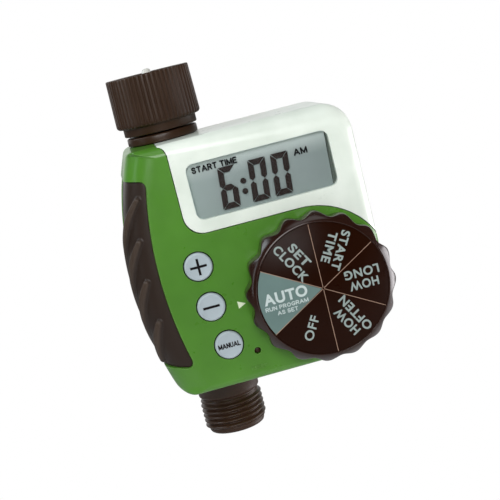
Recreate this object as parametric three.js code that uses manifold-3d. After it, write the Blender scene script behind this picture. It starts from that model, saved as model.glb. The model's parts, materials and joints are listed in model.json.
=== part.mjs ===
// A single-outlet hose-tap timer, in millimetres, +Z up.
// Origin: centre of the inlet washer's top face. +Z runs up the water path and the front panel faces -Y.
import * as THREE from 'three';
import { mergeVertices } from 'three/addons/utils/BufferGeometryUtils.js';
import Module from 'manifold-3d';

const wasm = await Module();
wasm.setup();

// ---- Driving dimensions ----

const GAP = 0.3; // clearance between neighbouring pieces
const WALL = 2.5; // casing wall
const FRONT = -34; // y of the front panel
const PARTING = 8; // y where the front and rear casings meet
const BACK = 25; // y of the rear face
const CASE = { top: -18.6, bottom: -120.5, right: 73.3, bulgeX: -28.2, bulgeZ: -73, bulgeR: 139 };
const CORNER = { topLeft: 3.5, topRight: 12, bottomRight: 30, bottomLeft: 8 };
// Edge rounding, side by side. Along the top it changes from one end to the other.
const FRONT_EDGE = { left: 12, topLeft: 4.5, topRight: 9.5, right: 5, bottom: 3 };
const REAR_EDGE = { left: 12, topLeft: 8, topRight: 8, right: 7, bottom: 7 };
// Degrees that a rounded edge turns through. Less than 90 leaves a crease.
const FULL_TURN = { left: 90, topLeft: 90, topRight: 90, right: 90, bottom: 90 };
const FRONT_TURN = { ...FULL_TURN, topRight: 62 };
const STEP = 0.6; // the rear casing stands this far inside the front one
const PROUD = 0.9; // the side grip stands this far out of the casing

const DIAL = { x: 44.3, z: -88.4, face: -46, rear: -35, radius: 29.6 };
const FLUTES = { count: 16, depth: 1, crestAngle: 14.25 }; // round the dial's side
const DIAL_HOLLOW = { r: 25.5, hubR: 7, bore: 3.9 };
const LABEL_R = 26.5;
const SPINDLE = { r: 3.5, start: -44, end: -21.5, hole: 4 };
const CLIP_GROOVE = { r: 2.7, front: -23.9, back: -22.7 };
const SEAM = { x: -2, corner: 8, dialRadius: 31.7, flare: 3, flareEnd: -24.1 }; // edge of the pale bezel
const WINDOW = { x: 32.9, z: -40, width: 58.6, height: 22.8, corner: 3.2, sunk: 0.8 };
const BUTTONS = { plus: [-0.9, -69], minus: [0.1, -86.1], manual: [3.2, -103.1] };
const BUTTON_R = 5.75;
const BUTTON_CLEARANCE = 0.45;
const BUTTON_FLANGE = { r: 7.3, front: -31.1, back: -30.2 };
const GLASS = { x0: 2.2, x1: 63.6, front: -31.2, back: -28.4, z0: -52.3, z1: -27.7 };
const RESET = { x: 13.9, z: -108.7, hole: 1.4 };
const MEMBRANE = { x0: -8.5, x1: 11.5, z0: -111.5, z1: -60.5, front: -28.9, back: -28.1, padR: 3.6 };

const NUT = {
  r: 17.85, rim: 10, skirt: -10.8, collarR: 15.44, collar: -14.3, bore: 12.9, lipR: 11, lipTop: -6.2,
};
const FILTER_TIP = 11.6;
const NECK = { end: -3.3, r: 10.6, flangeR: 14.9, flangeTop: -15, flangeBottom: -18.3, throatR: 13, bore: 6 };
const SNAP_RING = { inner: 9.7, outer: 12.5, bottom: -5.9, depth: 1.5, gapAngle: 0.4 };
const HOSE = { crest: 13.49, root: 12.3, pitch: 2.209, turns: 6, end: -146.5, bore: 9, shoulder: 13.3 };
const SPOUT_FLANGE = { r: 15.2, top: -114.9, bottom: -117.1 }; // held inside the casing's floor

const VALVE = { z: -41.4, r: 16.5, back: -10, face: 14, seat: 11, screwR: 14.4 }; // chamber lies along X
const BONNET = { back: 15.4, face: 22, collarR: 7.2, collar: 24.5 };
const TUBE = { start: 19.8, end: 48, outer: 4.4, inner: 3.5 };
const O_RING = { r: 8.45, wire: 0.7, z: -69 };
const BOARD = { front: -26.4, back: -24.8 };
const POSTS = { bezel: [[65, -24.4]], shell: [[-18.6, -38], [-18, -104], [65, -84]] };
const POST = { r: 3, pilot: 1.7, bossR: 4.2, recessR: 3.2, clearance: 1.75 };
const CASE_SCREW = { headR: 2.8, headHeight: 2, shankR: 1.35, length: 18 };
const SCREW_SEAT = 12.3; // y under the case screws' heads
const BONNET_SCREW = { headR: 2.6, headHeight: 2, shankR: 1.4, length: 17 };

const CELL = { r: 7.25, length: 50, y: 13.3, x: [29.5, 45] };
const TRAY = { x0: 20.9, x1: 53.6, y0: 4.5, y1: 20.8, z0: -114, z1: -58.4, wall: 1.1 };
const DOOR = { x0: 20.8, x1: 53.2, z0: -113.5, z1: -59, corner: 3 };
const HINGE = { x: 18.6, y: 26.9, r: 1.6, bore: 1, pin: 0.7 };

// ---- Materials ----

const coated = (color, roughness, metalness) =>
  new THREE.MeshStandardMaterial({ color, roughness, metalness });
const plastic = (color, roughness = 0.4) => coated(color, roughness, 0);
const metal = (color, roughness = 0.35) => coated(color, roughness, 1);
const glassy = (color) => Object.assign(coated(color, 0.05, 0), { transparent: true, opacity: 0.35 });
const MATERIAL = {
  green: plastic(0x4e872b, 0.32),
  pale: plastic(0xe4f5e4, 0.35),
  clear: glassy(0xc8d2d2),
  display: plastic(0x9baaac, 0.2),
  grip: plastic(0x463c37, 0.7),
  dark: plastic(0x2d1e14, 0.45),
  button: plastic(0xa5b4b9, 0.5),
  rubber: plastic(0x1c1c1c, 0.8),
  white: plastic(0xe8e8e2, 0.5),
  board: plastic(0x1f6b3a, 0.5),
  copper: metal(0xb06a3a),
  steel: metal(0xb8b8b8),
  brass: metal(0xc9a24a),
  cell: plastic(0x3b5a8a, 0.3),
  redLead: plastic(0xb02020, 0.5),
  blackLead: plastic(0x181818, 0.5),
};

// ---- Solids ----

/** A closed geometry as a manifold solid, turned inside out first if its faces point inwards. */
function solid(shape) {
  if (shape instanceof wasm.Manifold) return shape;
  const bare = shape.clone();
  bare.deleteAttribute('normal');
  bare.deleteAttribute('uv');
  const welded = mergeVertices(bare, 1e-4);
  const points = welded.attributes.position.array;
  const corners = welded.index.array;
  const kept = [];
  let volume = 0;
  const [a, b, c] = [new THREE.Vector3(), new THREE.Vector3(), new THREE.Vector3()];
  for (let i = 0; i < corners.length; i += 3) {
    const [p, q, r] = [corners[i], corners[i + 1], corners[i + 2]];
    if (p === q || q === r || r === p) continue;
    kept.push(p, q, r);
    a.fromArray(points, 3 * p);
    b.fromArray(points, 3 * q);
    c.fromArray(points, 3 * r);
    volume += a.dot(b.cross(c));
  }
  if (volume < 0) kept.reverse();
  return new wasm.Manifold(
    new wasm.Mesh({ numProp: 3, vertProperties: new Float32Array(points), triVerts: new Uint32Array(kept) }),
  );
}

const join = (first, ...rest) => rest.reduce((sum, s) => sum.add(solid(s)), solid(first));
const cut = (first, ...rest) => rest.reduce((sum, s) => sum.subtract(solid(s)), solid(first));
const meet = (first, ...rest) => rest.reduce((sum, s) => sum.intersect(solid(s)), solid(first));

function geometryOf(shape) {
  const mesh = solid(shape).getMesh();
  const geometry = new THREE.BufferGeometry();
  geometry.setAttribute('position', new THREE.BufferAttribute(new Float32Array(mesh.vertProperties), 3));
  geometry.setIndex(new THREE.BufferAttribute(new Uint32Array(mesh.triVerts), 1));
  geometry.computeVertexNormals();
  return geometry;
}

const block = (x0, x1, y0, y1, z0, z1) =>
  new THREE.BoxGeometry(x1 - x0, y1 - y0, z1 - z0).translate((x0 + x1) / 2, (y0 + y1) / 2, (z0 + z1) / 2);
const rodX = (y, z, r, x0, x1, sides = 18) =>
  new THREE.CylinderGeometry(r, r, x1 - x0, sides).rotateZ(Math.PI / 2).translate((x0 + x1) / 2, y, z);
const rodY = (x, z, r, y0, y1, sides = 18) =>
  new THREE.CylinderGeometry(r, r, y1 - y0, sides).translate(x, (y0 + y1) / 2, z);
const rodZ = (x, y, r, z0, z1, sides = 18) =>
  new THREE.CylinderGeometry(r, r, z1 - z0, sides).rotateX(Math.PI / 2).translate(x, y, (z0 + z1) / 2);

/** A turned part. The profile is [radius, height] pairs, and the height runs along Y. */
const turned = (profile, sides = 20) =>
  new THREE.LatheGeometry(profile.map(([r, h]) => new THREE.Vector2(r, h)), sides);
const turnedZ = (profile, sides) => turned([...profile, profile[0]], sides).rotateX(Math.PI / 2);

/** An outline in X and Z, extruded from y0 to y1. */
function plateY(outline, y0, y1, curveSegments = 6) {
  const geometry = new THREE.ExtrudeGeometry(outline, { depth: y1 - y0, bevelEnabled: false, curveSegments });
  return geometry.rotateX(Math.PI / 2).translate(0, y1, 0);
}

function roundedRectangle(x0, x1, z0, z1, r) {
  const shape = new THREE.Shape();
  shape.absarc(x1 - r, z1 - r, r, 0, Math.PI / 2);
  shape.absarc(x0 + r, z1 - r, r, Math.PI / 2, Math.PI);
  shape.absarc(x0 + r, z0 + r, r, Math.PI, 1.5 * Math.PI);
  shape.absarc(x1 - r, z0 + r, r, 1.5 * Math.PI, 2 * Math.PI);
  return shape;
}

/** An open ring, such as a snap ring, around the origin. */
function openRing(inner, outer, gapAngle) {
  const [start, end] = [gapAngle / 2, 2 * Math.PI - gapAngle / 2];
  const shape = new THREE.Shape();
  shape.absarc(0, 0, outer, start, end);
  shape.absarc(0, 0, inner, end, start, true);
  shape.closePath();
  return shape;
}

const polygon = (r, sides) =>
  new THREE.Shape(Array.from({ length: sides }, (_, k) => {
    const angle = (2 * Math.PI * k) / sides;
    return new THREE.Vector2(r * Math.cos(angle), r * Math.sin(angle));
  }));

const sweep = (path, radius, steps, sides = 6) =>
  new THREE.ExtrudeGeometry(polygon(radius, sides), { steps, extrudePath: path, bevelEnabled: false });

class Helix extends THREE.Curve {
  constructor(radius, endRadius, length, turns) {
    super();
    Object.assign(this, { radius, endRadius, length, turns });
  }

  getPoint(t, target = new THREE.Vector3()) {
    const angle = 2 * Math.PI * this.turns * t;
    const r = THREE.MathUtils.lerp(this.radius, this.endRadius, t);
    return target.set(r * Math.cos(angle), r * Math.sin(angle), this.length * t);
  }
}

/** A coil spring standing on the origin along Z, its wire included in its length. */
function coil({ radius, endRadius = radius, length, turns, wire }) {
  const path = new Helix(radius, endRadius, length - 2 * wire, turns);
  return sweep(path, wire, Math.round(turns * 8), 4).translate(0, 0, wire);
}

// ---- Casing ----

const smooth = (t) => t * t * (3 - 2 * t);
const each = (sides, change) =>
  Object.fromEntries(Object.entries(sides).map(([side, value]) => [side, change(value, side)]));

/** One ring of the casing: its outline moved in by inset, at depth y. Both are given side by side. */
function caseRing(inset, y, segments = 4) {
  const [topLeft, topRight] = [CASE.top - inset.topLeft, CASE.top - inset.topRight];
  const bottom = CASE.bottom + inset.bottom;
  const right = CASE.right - inset.right;
  const bulge = { x: CASE.bulgeX + CASE.bulgeR, z: CASE.bulgeZ, r: CASE.bulgeR - inset.left };
  const shrunk = (r, a, b) => Math.max(r - (inset[a] + inset[b]) / 2, 0.8);
  const radius = {
    topLeft: shrunk(CORNER.topLeft, 'topLeft', 'left'),
    topRight: shrunk(CORNER.topRight, 'topRight', 'right'),
    bottomRight: shrunk(CORNER.bottomRight, 'bottom', 'right'),
    bottomLeft: shrunk(CORNER.bottomLeft, 'bottom', 'left'),
  };
  const beside = (z, r) => bulge.x - Math.sqrt((bulge.r - r) ** 2 - (z - bulge.z) ** 2);
  const upper = topLeft - radius.topLeft;
  const lower = bottom + radius.bottomLeft;
  const [upperX, lowerX] = [beside(upper, radius.topLeft), beside(lower, radius.bottomLeft)];
  const upperAngle = Math.atan2(upper - bulge.z, upperX - bulge.x);
  const lowerAngle = Math.atan2(lower - bulge.z, lowerX - bulge.x) + 2 * Math.PI;
  const points = [];
  const arc = (x, z, r, from, to, a, b, skipEnds = false) => {
    for (let k = skipEnds ? 1 : 0; k <= segments - (skipEnds ? 1 : 0); k += 1) {
      const t = k / segments;
      const angle = THREE.MathUtils.lerp(from, to, t);
      const depth = THREE.MathUtils.lerp(y[a], y[b], smooth(t));
      points.push(new THREE.Vector3(x + r * Math.cos(angle), depth, z + r * Math.sin(angle)));
    }
  };
  const { bottomRight: br, topRight: tr } = radius;
  arc(right - br, bottom + br, br, -Math.PI / 2, 0, 'bottom', 'right');
  arc(right - tr, topRight - tr, tr, 0, Math.PI / 2, 'right', 'topRight');
  arc(upperX, upper, radius.topLeft, Math.PI / 2, upperAngle, 'topLeft', 'left');
  arc(bulge.x, bulge.z, bulge.r, upperAngle, lowerAngle, 'left', 'left', true);
  arc(lowerX, lower, radius.bottomLeft, lowerAngle, 1.5 * Math.PI, 'left', 'bottom');
  return points;
}

/** A closed solid through rings of equally many points, capped at both ends. */
function loft(rings) {
  const n = rings[0].length;
  const cap = THREE.ShapeUtils.triangulateShape(rings[0].map((p) => new THREE.Vector2(p.x, p.z)), []);
  const last = THREE.ShapeUtils.triangulateShape(rings.at(-1).map((p) => new THREE.Vector2(p.x, p.z)), []);
  const index = [];
  for (let k = 0; k + 1 < rings.length; k += 1) {
    for (let i = 0; i < n; i += 1) {
      const [a, b] = [k * n + i, k * n + ((i + 1) % n)];
      index.push(a, b + n, b, a, a + n, b + n);
    }
  }
  for (const [a, b, c] of cap) index.push(a, b, c);
  const base = (rings.length - 1) * n;
  for (const [a, b, c] of last) index.push(base + a, base + c, base + b);
  const geometry = new THREE.BufferGeometry().setFromPoints(rings.flat());
  geometry.setIndex(index);
  return geometry;
}

/** The casing's solid form, moved in by inset, from one face to just past the parting line. */
function caseBody(face, edge, turn, inset) {
  const inward = Math.sign(PARTING - face);
  const steps = 3;
  const rings = [];
  for (let k = 0; k <= steps; k += 1) {
    const atEdge = (place) => each(edge, (r, side) => {
      const height = Math.max(r - inset, 0.5);
      const whole = THREE.MathUtils.degToRad(turn[side]);
      return place(height, height / Math.sin(whole), whole * (k / steps));
    });
    rings.push(caseRing(
      atEdge((height, radius, angle) => inset + height - radius * Math.sin(angle)),
      atEdge((height, radius, angle) => face + inward * (inset + radius * (1 - Math.cos(angle)))),
    ));
  }
  const past = each(edge, () => PARTING + inward * 12);
  rings.push(caseRing(each(edge, () => inset), past));
  return solid(loft(rings));
}

const frontBody = (inset) => caseBody(FRONT, FRONT_EDGE, FRONT_TURN, inset);
const rearBody = (inset) => caseBody(BACK + STEP, REAR_EDGE, FULL_TURN, inset + STEP);
const everywhere = (y0, y1) => block(-60, 110, y0, y1, -200, 60);
const inFront = everywhere(-80, PARTING - GAP / 2);
const behind = everywhere(PARTING + GAP / 2, 80);

/** The region of the pale bezel, right of and above its seam. */
function bezelRegion(grow) {
  const x = SEAM.x - grow;
  const arc = SEAM.dialRadius - grow;
  const z = DIAL.z + arc;
  const outline = new THREE.Shape();
  outline.moveTo(x - SEAM.flare, 0);
  outline.lineTo(x - SEAM.flare, CASE.top - 0.6);
  outline.quadraticCurveTo(x, CASE.top - 1, x, SEAM.flareEnd);
  outline.lineTo(x, z + SEAM.corner);
  outline.absarc(x + SEAM.corner, z + SEAM.corner, SEAM.corner, Math.PI, 1.5 * Math.PI);
  outline.absarc(DIAL.x, DIAL.z, arc, Math.PI / 2, 0.4, true);
  outline.lineTo(90, DIAL.z + arc * Math.sin(0.4));
  outline.lineTo(90, 0);
  return plateY(outline, -60, 40, 8);
}

/** The region of the side grip, left of its curved edge. */
function gripRegion(grow) {
  const outline = new THREE.Shape();
  outline.moveTo(-40, -27 + grow);
  outline.lineTo(-15.3, -30.6 + grow);
  outline.quadraticCurveTo(-12.9 + grow, -31 + grow, -13.1 + grow, -33.6);
  outline.quadraticCurveTo(-20.9 + grow, -69.6, -12.8 + grow, -105.5);
  outline.quadraticCurveTo(-12.5 + grow, -108.6 - grow, -15.5, -108.1 - grow);
  outline.lineTo(-40, -103.5 - grow);
  return plateY(outline, -60, 40, 6);
}

const neckHole = rodZ(0, 0, NECK.throatR + 0.5, -30, -10, 24);
const spoutHole = rodZ(0, 0, HOSE.shoulder + 0.5, -130, -110, 24);

/** A screw post that stands on the front wall and reaches the parting line. */
const post = ([x, z]) =>
  cut(rodY(x, z, POST.r, FRONT + 1.5, PARTING - GAP, 12), rodY(x, z, POST.pilot, -8, PARTING, 8));

function frontShell() {
  const pocket = cut(gripRegion(GAP), frontBody(1.2));
  const hole = ([x, z], r, sides) => rodY(x, z, r, FRONT - 1, FRONT + 6, sides);
  const skin = cut(meet(frontBody(0), inFront), frontBody(WALL));
  const shell = cut(skin, bezelRegion(GAP / 2), pocket, neckHole, spoutHole);
  const posts = POSTS.shell.map((at) => meet(post(at), frontBody(1.5)));
  return cut(
    join(shell, ...posts),
    ...Object.values(BUTTONS).map((at) => hole(at, BUTTON_R + BUTTON_CLEARANCE, 20)),
    hole([RESET.x, RESET.z], RESET.hole, 10),
    hole([DIAL.x, DIAL.z], SPINDLE.hole, 14),
  );
}

function windowOutline(grow) {
  const { x, z, width, height, corner } = WINDOW;
  const [halfWidth, halfHeight] = [width / 2 + grow, height / 2 + grow];
  return roundedRectangle(x - halfWidth, x + halfWidth, z - halfHeight, z + halfHeight, corner + grow);
}

function displayBezel() {
  const shell = cut(meet(frontBody(0), inFront, bezelRegion(-GAP / 2)), frontBody(WALL), neckHole);
  const posts = POSTS.bezel.map((at) => meet(post(at), frontBody(1.5)));
  return cut(join(shell, ...posts), plateY(windowOutline(0), FRONT - 1, FRONT + WALL + 1, 4));
}

function windowPlate() {
  const front = FRONT + WINDOW.sunk;
  return plateY(windowOutline(-GAP), front, front + 1.4, 4);
}

const sideGrip = () => cut(meet(frontBody(-PROUD), gripRegion(0), inFront), frontBody(0.9));

function doorRegion(grow) {
  const { x0, x1, z0, z1, corner } = DOOR;
  return plateY(roundedRectangle(x0 - grow, x1 + grow, z0 - grow, z1 + grow, corner), 15, 40, 4);
}

const KNUCKLES = { shell: [[-71, -66.5], [-105.5, -101]], door: [[-100.7, -71.3]] };
const knuckles = (spans) => spans.map(([z0, z1]) => rodZ(HINGE.x, HINGE.y, HINGE.r, z0, z1, 12));
const hingeBore = rodZ(HINGE.x, HINGE.y, HINGE.bore, -115, -60, 8);

function rearShell() {
  const screws = [...POSTS.bezel, ...POSTS.shell];
  const bosses = screws.map(([x, z]) => meet(rodY(x, z, POST.bossR, PARTING + GAP, BACK, 12), rearBody(1)));
  const recesses = screws.map(([x, z]) => rodY(x, z, POST.recessR, SCREW_SEAT - GAP, BACK + 3, 12));
  const holes = screws.map(([x, z]) => rodY(x, z, POST.clearance, 0, BACK, 8));
  const lug = ([z0, z1]) => block(HINGE.x - 3.2, HINGE.x, BACK - 0.5, HINGE.y + 0.6, z0, z1);
  const lugs = KNUCKLES.shell.map(lug);
  const shell = cut(meet(rearBody(0), behind), rearBody(WALL), neckHole, spoutHole, doorRegion(GAP));
  return cut(join(shell, ...bosses, ...lugs, ...knuckles(KNUCKLES.shell)), ...recesses, ...holes, hingeBore);
}

function batteryDoor() {
  const plate = cut(meet(rearBody(0), doorRegion(0)), rearBody(WALL), everywhere(-80, BACK - 8));
  const [[z0, z1]] = KNUCKLES.door;
  const arm = block(HINGE.x, DOOR.x0 + 3, BACK + GAP, BACK + 1.9, z0, z1);
  const foot = block(DOOR.x0 + 0.6, DOOR.x0 + 3, BACK - 1, BACK + 1, z0, z1);
  const tab = block(DOOR.x1 - 3, DOOR.x1 - 1, BACK - 1, BACK + 1.4, -96, -78);
  return cut(join(plate, arm, foot, tab, ...knuckles(KNUCKLES.door)), hingeBore);
}

function doorGasket() {
  const ring = roundedRectangle(DOOR.x0 + 0.6, DOOR.x1 - 0.6, DOOR.z0 + 0.5, DOOR.z1 - 0.6, 3);
  ring.holes.push(roundedRectangle(DOOR.x0 + 2, DOOR.x1 - 2, DOOR.z0 + 1.9, DOOR.z1 - 2, 1.8));
  return plateY(ring, TRAY.y1 + GAP, BACK - WALL - GAP, 3);
}

/** A turned screw, its head's underside at the origin and its shank towards -Y. */
const screw = ({ headR, headHeight, shankR, length }) =>
  turned([
    [0, -length], [shankR * 0.4, -length], [shankR, -length + 1.2], [shankR, 0],
    [headR, 0], [headR, headHeight], [0, headHeight],
  ], 10);

// ---- Water path ----

const swivelNut = () =>
  turnedZ([
    [NUT.bore, NUT.rim], [NUT.r - 0.3, NUT.rim], [NUT.r, -9.5], [NUT.r - 1, NUT.skirt],
    [NUT.collarR, NUT.skirt], [NUT.collarR, NUT.collar], [NUT.lipR, NUT.collar],
    [NUT.lipR, NUT.lipTop], [NUT.bore, NUT.lipTop],
  ], 32);

function retainingRing() {
  const { inner, outer, bottom, depth, gapAngle } = SNAP_RING;
  const options = { depth, bevelEnabled: false, curveSegments: 12 };
  return new THREE.ExtrudeGeometry(openRing(inner, outer, gapAngle), options).translate(0, 0, bottom);
}

const inletWasher = () => turnedZ([[6.7, -2], [12.3, -2], [12.3, 0], [6.7, 0]], 24);

/** A hollow cone that stands in the washer, its brim held under it. */
const filterScreen = () =>
  turned([
    [0, FILTER_TIP], [1.5, FILTER_TIP - 0.4], [6.3, 0], [6.3, -2.35], [10.5, -2.35], [10.5, -3], [5.4, -3],
    [5.4, -0.4], [0.9, FILTER_TIP - 1.3], [0, FILTER_TIP - 1.3],
  ], 16).rotateX(Math.PI / 2);

/** Four places around the valve chamber's axis, as [y, z]. */
const bonnetScrews = [45, 135, 225, 315].map((degrees) => {
  const angle = THREE.MathUtils.degToRad(degrees);
  return [VALVE.screwR * Math.cos(angle), VALVE.z + VALVE.screwR * Math.sin(angle)];
});

function valveBody() {
  const { z, r, back, face, seat } = VALVE;
  const outside = join(
    rodZ(0, 0, NECK.r, -20, NECK.end, 24),
    rodZ(0, 0, NECK.flangeR, NECK.flangeBottom, NECK.flangeTop, 32),
    rodZ(0, 0, NECK.throatR, z + 9, -18, 24),
    rodX(0, z, r, back, face, 28),
    rodZ(0, 0, 9, -74, z, 20),
  );
  const ringGroove = cut(rodZ(0, 0, 12, -6.2, -4.1, 24), rodZ(0, 0, 9.4, -7, -3, 24));
  const oRingGroove = cut(rodZ(0, 0, 10, -70.1, -67.9, 20), rodZ(0, 0, 7.45, -71, -67, 20));
  const chamber = cut(rodX(0, z, 12.2, 5, face + 1, 24), rodX(0, z, 7, 4, seat, 18));
  const inlet = [
    rodZ(0, 0, NECK.bore, -28, 0),
    rodZ(0, 0, 5, z + 7.5, -27),
    block(0, 8, -3.5, 3.5, z + 7.5, z + 11.5),
  ];
  const outlet = [rodX(0, z, 3.6, 0, face, 12), rodZ(0, 0, 3.6, -80, z, 12)];
  const holes = bonnetScrews.map(([y, height]) => rodX(y, height, 1.75, 4, face + 1, 8));
  return cut(outside, ringGroove, oRingGroove, chamber, ...inlet, ...outlet, ...holes);
}

function outletSpout() {
  const { crest, root, pitch, turns, end, bore, shoulder } = HOSE;
  const { r, top, bottom } = SPOUT_FLANGE;
  const firstCrest = end + 2 + (turns - 1) * pitch;
  const thread = [];
  for (let k = 0; k < turns; k += 1) {
    const z = firstCrest - k * pitch;
    thread.push([root, z + pitch / 2], [crest, z]);
  }
  return turnedZ([
    [9.3, -62.8], [11.2, -62.8], [11.2, top], [r, top], [r, bottom], [shoulder, bottom],
    [shoulder, -130], [root, -131], ...thread, [12.1, end + 1], [11.7, end],
    [bore, end], [bore, -76], [9.3, -75],
  ], 24);
}

function valveBonnet() {
  const { back, face, collarR, collar } = BONNET;
  const outside = join(
    rodX(0, VALVE.z, VALVE.r, back, face, 28),
    rodX(0, VALVE.z, collarR, face - 1, collar),
  );
  const hollow = [rodX(0, VALVE.z, 12, 15, 19.5, 20), rodX(0, VALVE.z, TUBE.outer + GAP, 19, 25)];
  const holes = bonnetScrews.map(([y, z]) => rodX(y, z, 1.75, 15, 23, 8));
  return cut(outside, ...hollow, ...holes);
}

function diaphragm() {
  const holes = bonnetScrews.map(([y, z]) => rodX(y, z, 1.8, 14, 16, 8));
  return cut(rodX(0, VALVE.z, VALVE.r - GAP, VALVE.face + GAP, BONNET.back - GAP, 24), ...holes);
}

/** A core tube, closed at its far end. */
const coreTube = () =>
  cut(rodX(0, VALVE.z, TUBE.outer, TUBE.start, TUBE.end), rodX(0, VALVE.z, TUBE.inner, 19, TUBE.end - 2));

const plunger = () => join(rodX(0, VALVE.z, 3.1, 21.5, 36, 14), rodX(0, VALVE.z, 1.6, 20.1, 22, 10));

/** A winding between the two flanges of its bobbin. */
function solenoidCoil() {
  const [bore, winding, flange] = [4.7, 9, 10];
  const profile = [
    [bore, 27], [flange, 27], [flange, 28.2], [winding, 28.2],
    [winding, 44.2], [flange, 44.2], [flange, 45.4], [bore, 45.4], [bore, 27],
  ];
  return turned(profile, 20).rotateZ(-Math.PI / 2).translate(0, 0, VALVE.z);
}

function solenoidFrame() {
  const { z } = VALVE;
  const bracket = join(
    block(25.2, 26.7, -10, 12.3, z - 10, z + 10),
    block(45.7, 47.2, -10, 12.3, z - 10, z + 10),
    block(25.2, 47.2, 10.8, 12.3, z - 10, z + 10),
  );
  return cut(bracket, rodX(0, z, TUBE.outer + GAP, 25, 48));
}

const alongX = (geometry, x) => geometry.rotateY(Math.PI / 2).translate(x, 0, VALVE.z);

// ---- Electronics ----

/** A flat outline that follows the casing, moved in by inset. */
function caseOutline(inset) {
  const same = each(FRONT_EDGE, () => inset);
  return new THREE.Shape(caseRing(same, each(FRONT_EDGE, () => 0)).map((p) => new THREE.Vector2(p.x, p.z)));
}

const circuitBoard = () =>
  cut(
    plateY(caseOutline(5), BOARD.front, BOARD.back),
    ...[...POSTS.bezel, ...POSTS.shell].map(([x, z]) => rodY(x, z, 3.5, -30, -20, 12)),
    rodY(DIAL.x, DIAL.z, 4.3, -30, -20, 14),
  );

function buttonMembrane() {
  const { x0, x1, z0, z1, front, back, padR } = MEMBRANE;
  const sheet = plateY(roundedRectangle(x0, x1, z0, z1, 3), front, back, 3);
  const pads = Object.values(BUTTONS).map(([x, z]) => rodY(x, z, padR, front + 0.4, BOARD.front - 0.4, 12));
  return join(sheet, ...pads);
}

/** A push button with a domed face, a retaining flange and a stem. */
function pushButton([x, z]) {
  const { r, front, back } = BUTTON_FLANGE;
  const stemR = 2.5;
  const profile = [
    [0, -35.4], [4.4, -35.2], [5.5, -34.6], [BUTTON_R, -33.9], [BUTTON_R, front], [r, front],
    [r, back], [stemR, back], [stemR, back + 0.3], [0, back + 0.3],
  ];
  return turned(profile, 20).translate(x, 0, z);
}

function resetPin() {
  const [pinR, flangeR] = [1.1, 1.9];
  const profile = [
    [0, -33.2], [pinR, -33.2], [pinR, -31], [flangeR, -31],
    [flangeR, -30.2], [pinR, -30.2], [pinR, -27.4], [0, -27.4],
  ];
  return turned(profile, 12).translate(RESET.x, 0, RESET.z);
}

const lead = (...points) =>
  sweep(new THREE.CatmullRomCurve3(points.map((p) => new THREE.Vector3(...p))), 0.7, 10);

// ---- Dial ----

function dialKnob() {
  const { x, z, radius, face, rear } = DIAL;
  const crest = THREE.MathUtils.degToRad(FLUTES.crestAngle);
  const count = FLUTES.count * 4;
  const ring = (y, shrink) => Array.from({ length: count }, (_, k) => {
    const turn = (2 * Math.PI * k) / count;
    const r = radius + FLUTES.depth * Math.cos(FLUTES.count * turn) - shrink;
    return new THREE.Vector3(x + r * Math.cos(crest + turn), y, z + r * Math.sin(crest + turn));
  });
  const cap = loft([
    ring(face, 1.8), ring(face + 1.6, 0.8), ring(face + 4, 0), ring(rear - 0.8, 0), ring(rear, 0.6),
  ]);
  const hollow = rodY(x, z, DIAL_HOLLOW.r, face + 3, rear + 1, 28);
  const hub = rodY(x, z, DIAL_HOLLOW.hubR, face + 2.5, rear, 16);
  const recess = rodY(x, z, LABEL_R + GAP, face - 1, face + 0.7, 32);
  const bore = rodY(x, z, DIAL_HOLLOW.bore, SPINDLE.start - GAP, rear + 1, 14);
  return cut(join(cut(cap, hollow), hub), recess, bore);
}

const dialLabel = () => rodY(DIAL.x, DIAL.z, LABEL_R, DIAL.face + 0.1, DIAL.face + 0.4, 32);

function dialSpindle() {
  const { r, start, end } = SPINDLE;
  const { r: core, front, back } = CLIP_GROOVE;
  const onAxis = (radius, y0, y1) => rodY(DIAL.x, DIAL.z, radius, y0, y1, 14);
  return cut(onAxis(r, start, end), cut(onAxis(r + 1.5, front, back), onAxis(core, front - 1, back + 1)));
}

function contactWiper() {
  const { x, z } = DIAL;
  const disc = cut(rodY(x, z, 12, -29.8, -28.8, 20), rodY(x, z, 3.9, -31, -28, 14));
  return join(disc, ...[0, 1, 2].map((k) => {
    const angle = (2 * Math.PI * k) / 3;
    const [fx, fz] = [x + 9.5 * Math.cos(angle), z + 9.5 * Math.sin(angle)];
    return block(fx - 0.8, fx + 0.8, -29.3, -26.8, fz - 0.8, fz + 0.8);
  }));
}

const flatRing = (inner, outer, y0, y1) =>
  turned([[inner, y0], [outer, y0], [outer, y1], [inner, y1], [inner, y0]], 16).translate(DIAL.x, 0, DIAL.z);

const spindleClip = () => plateY(openRing(3, 5.4, 1), -23.8, -22.9, 10).translate(DIAL.x, 0, DIAL.z);

// ---- Batteries ----

function batteryTray() {
  const { x0, x1, y0, y1, z0, z1, wall } = TRAY;
  const box = meet(block(x0, x1, y0, y1, z0, z1), rearBody(WALL + GAP));
  return cut(box, block(x0 + wall, x1 - wall, y0 + wall, y1 + 5, z0 + wall, z1 - wall));
}

/** A cell standing on z, its button up (1) or down (-1). */
function cell(x, z, up) {
  const { r, length, y } = CELL;
  const nub = 1;
  const can = up > 0 ? [z, z + length - nub] : [z + nub, z + length];
  return join(rodZ(x, y, r, can[0], can[1], 20), rodZ(x, y, 2.75, z, z + length, 10));
}

// ---- Assembly ----

const timer = new THREE.Group();

function add(name, shape, material) {
  const mesh = new THREE.Mesh(geometryOf(shape), material);
  mesh.name = name;
  timer.add(mesh);
}

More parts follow.
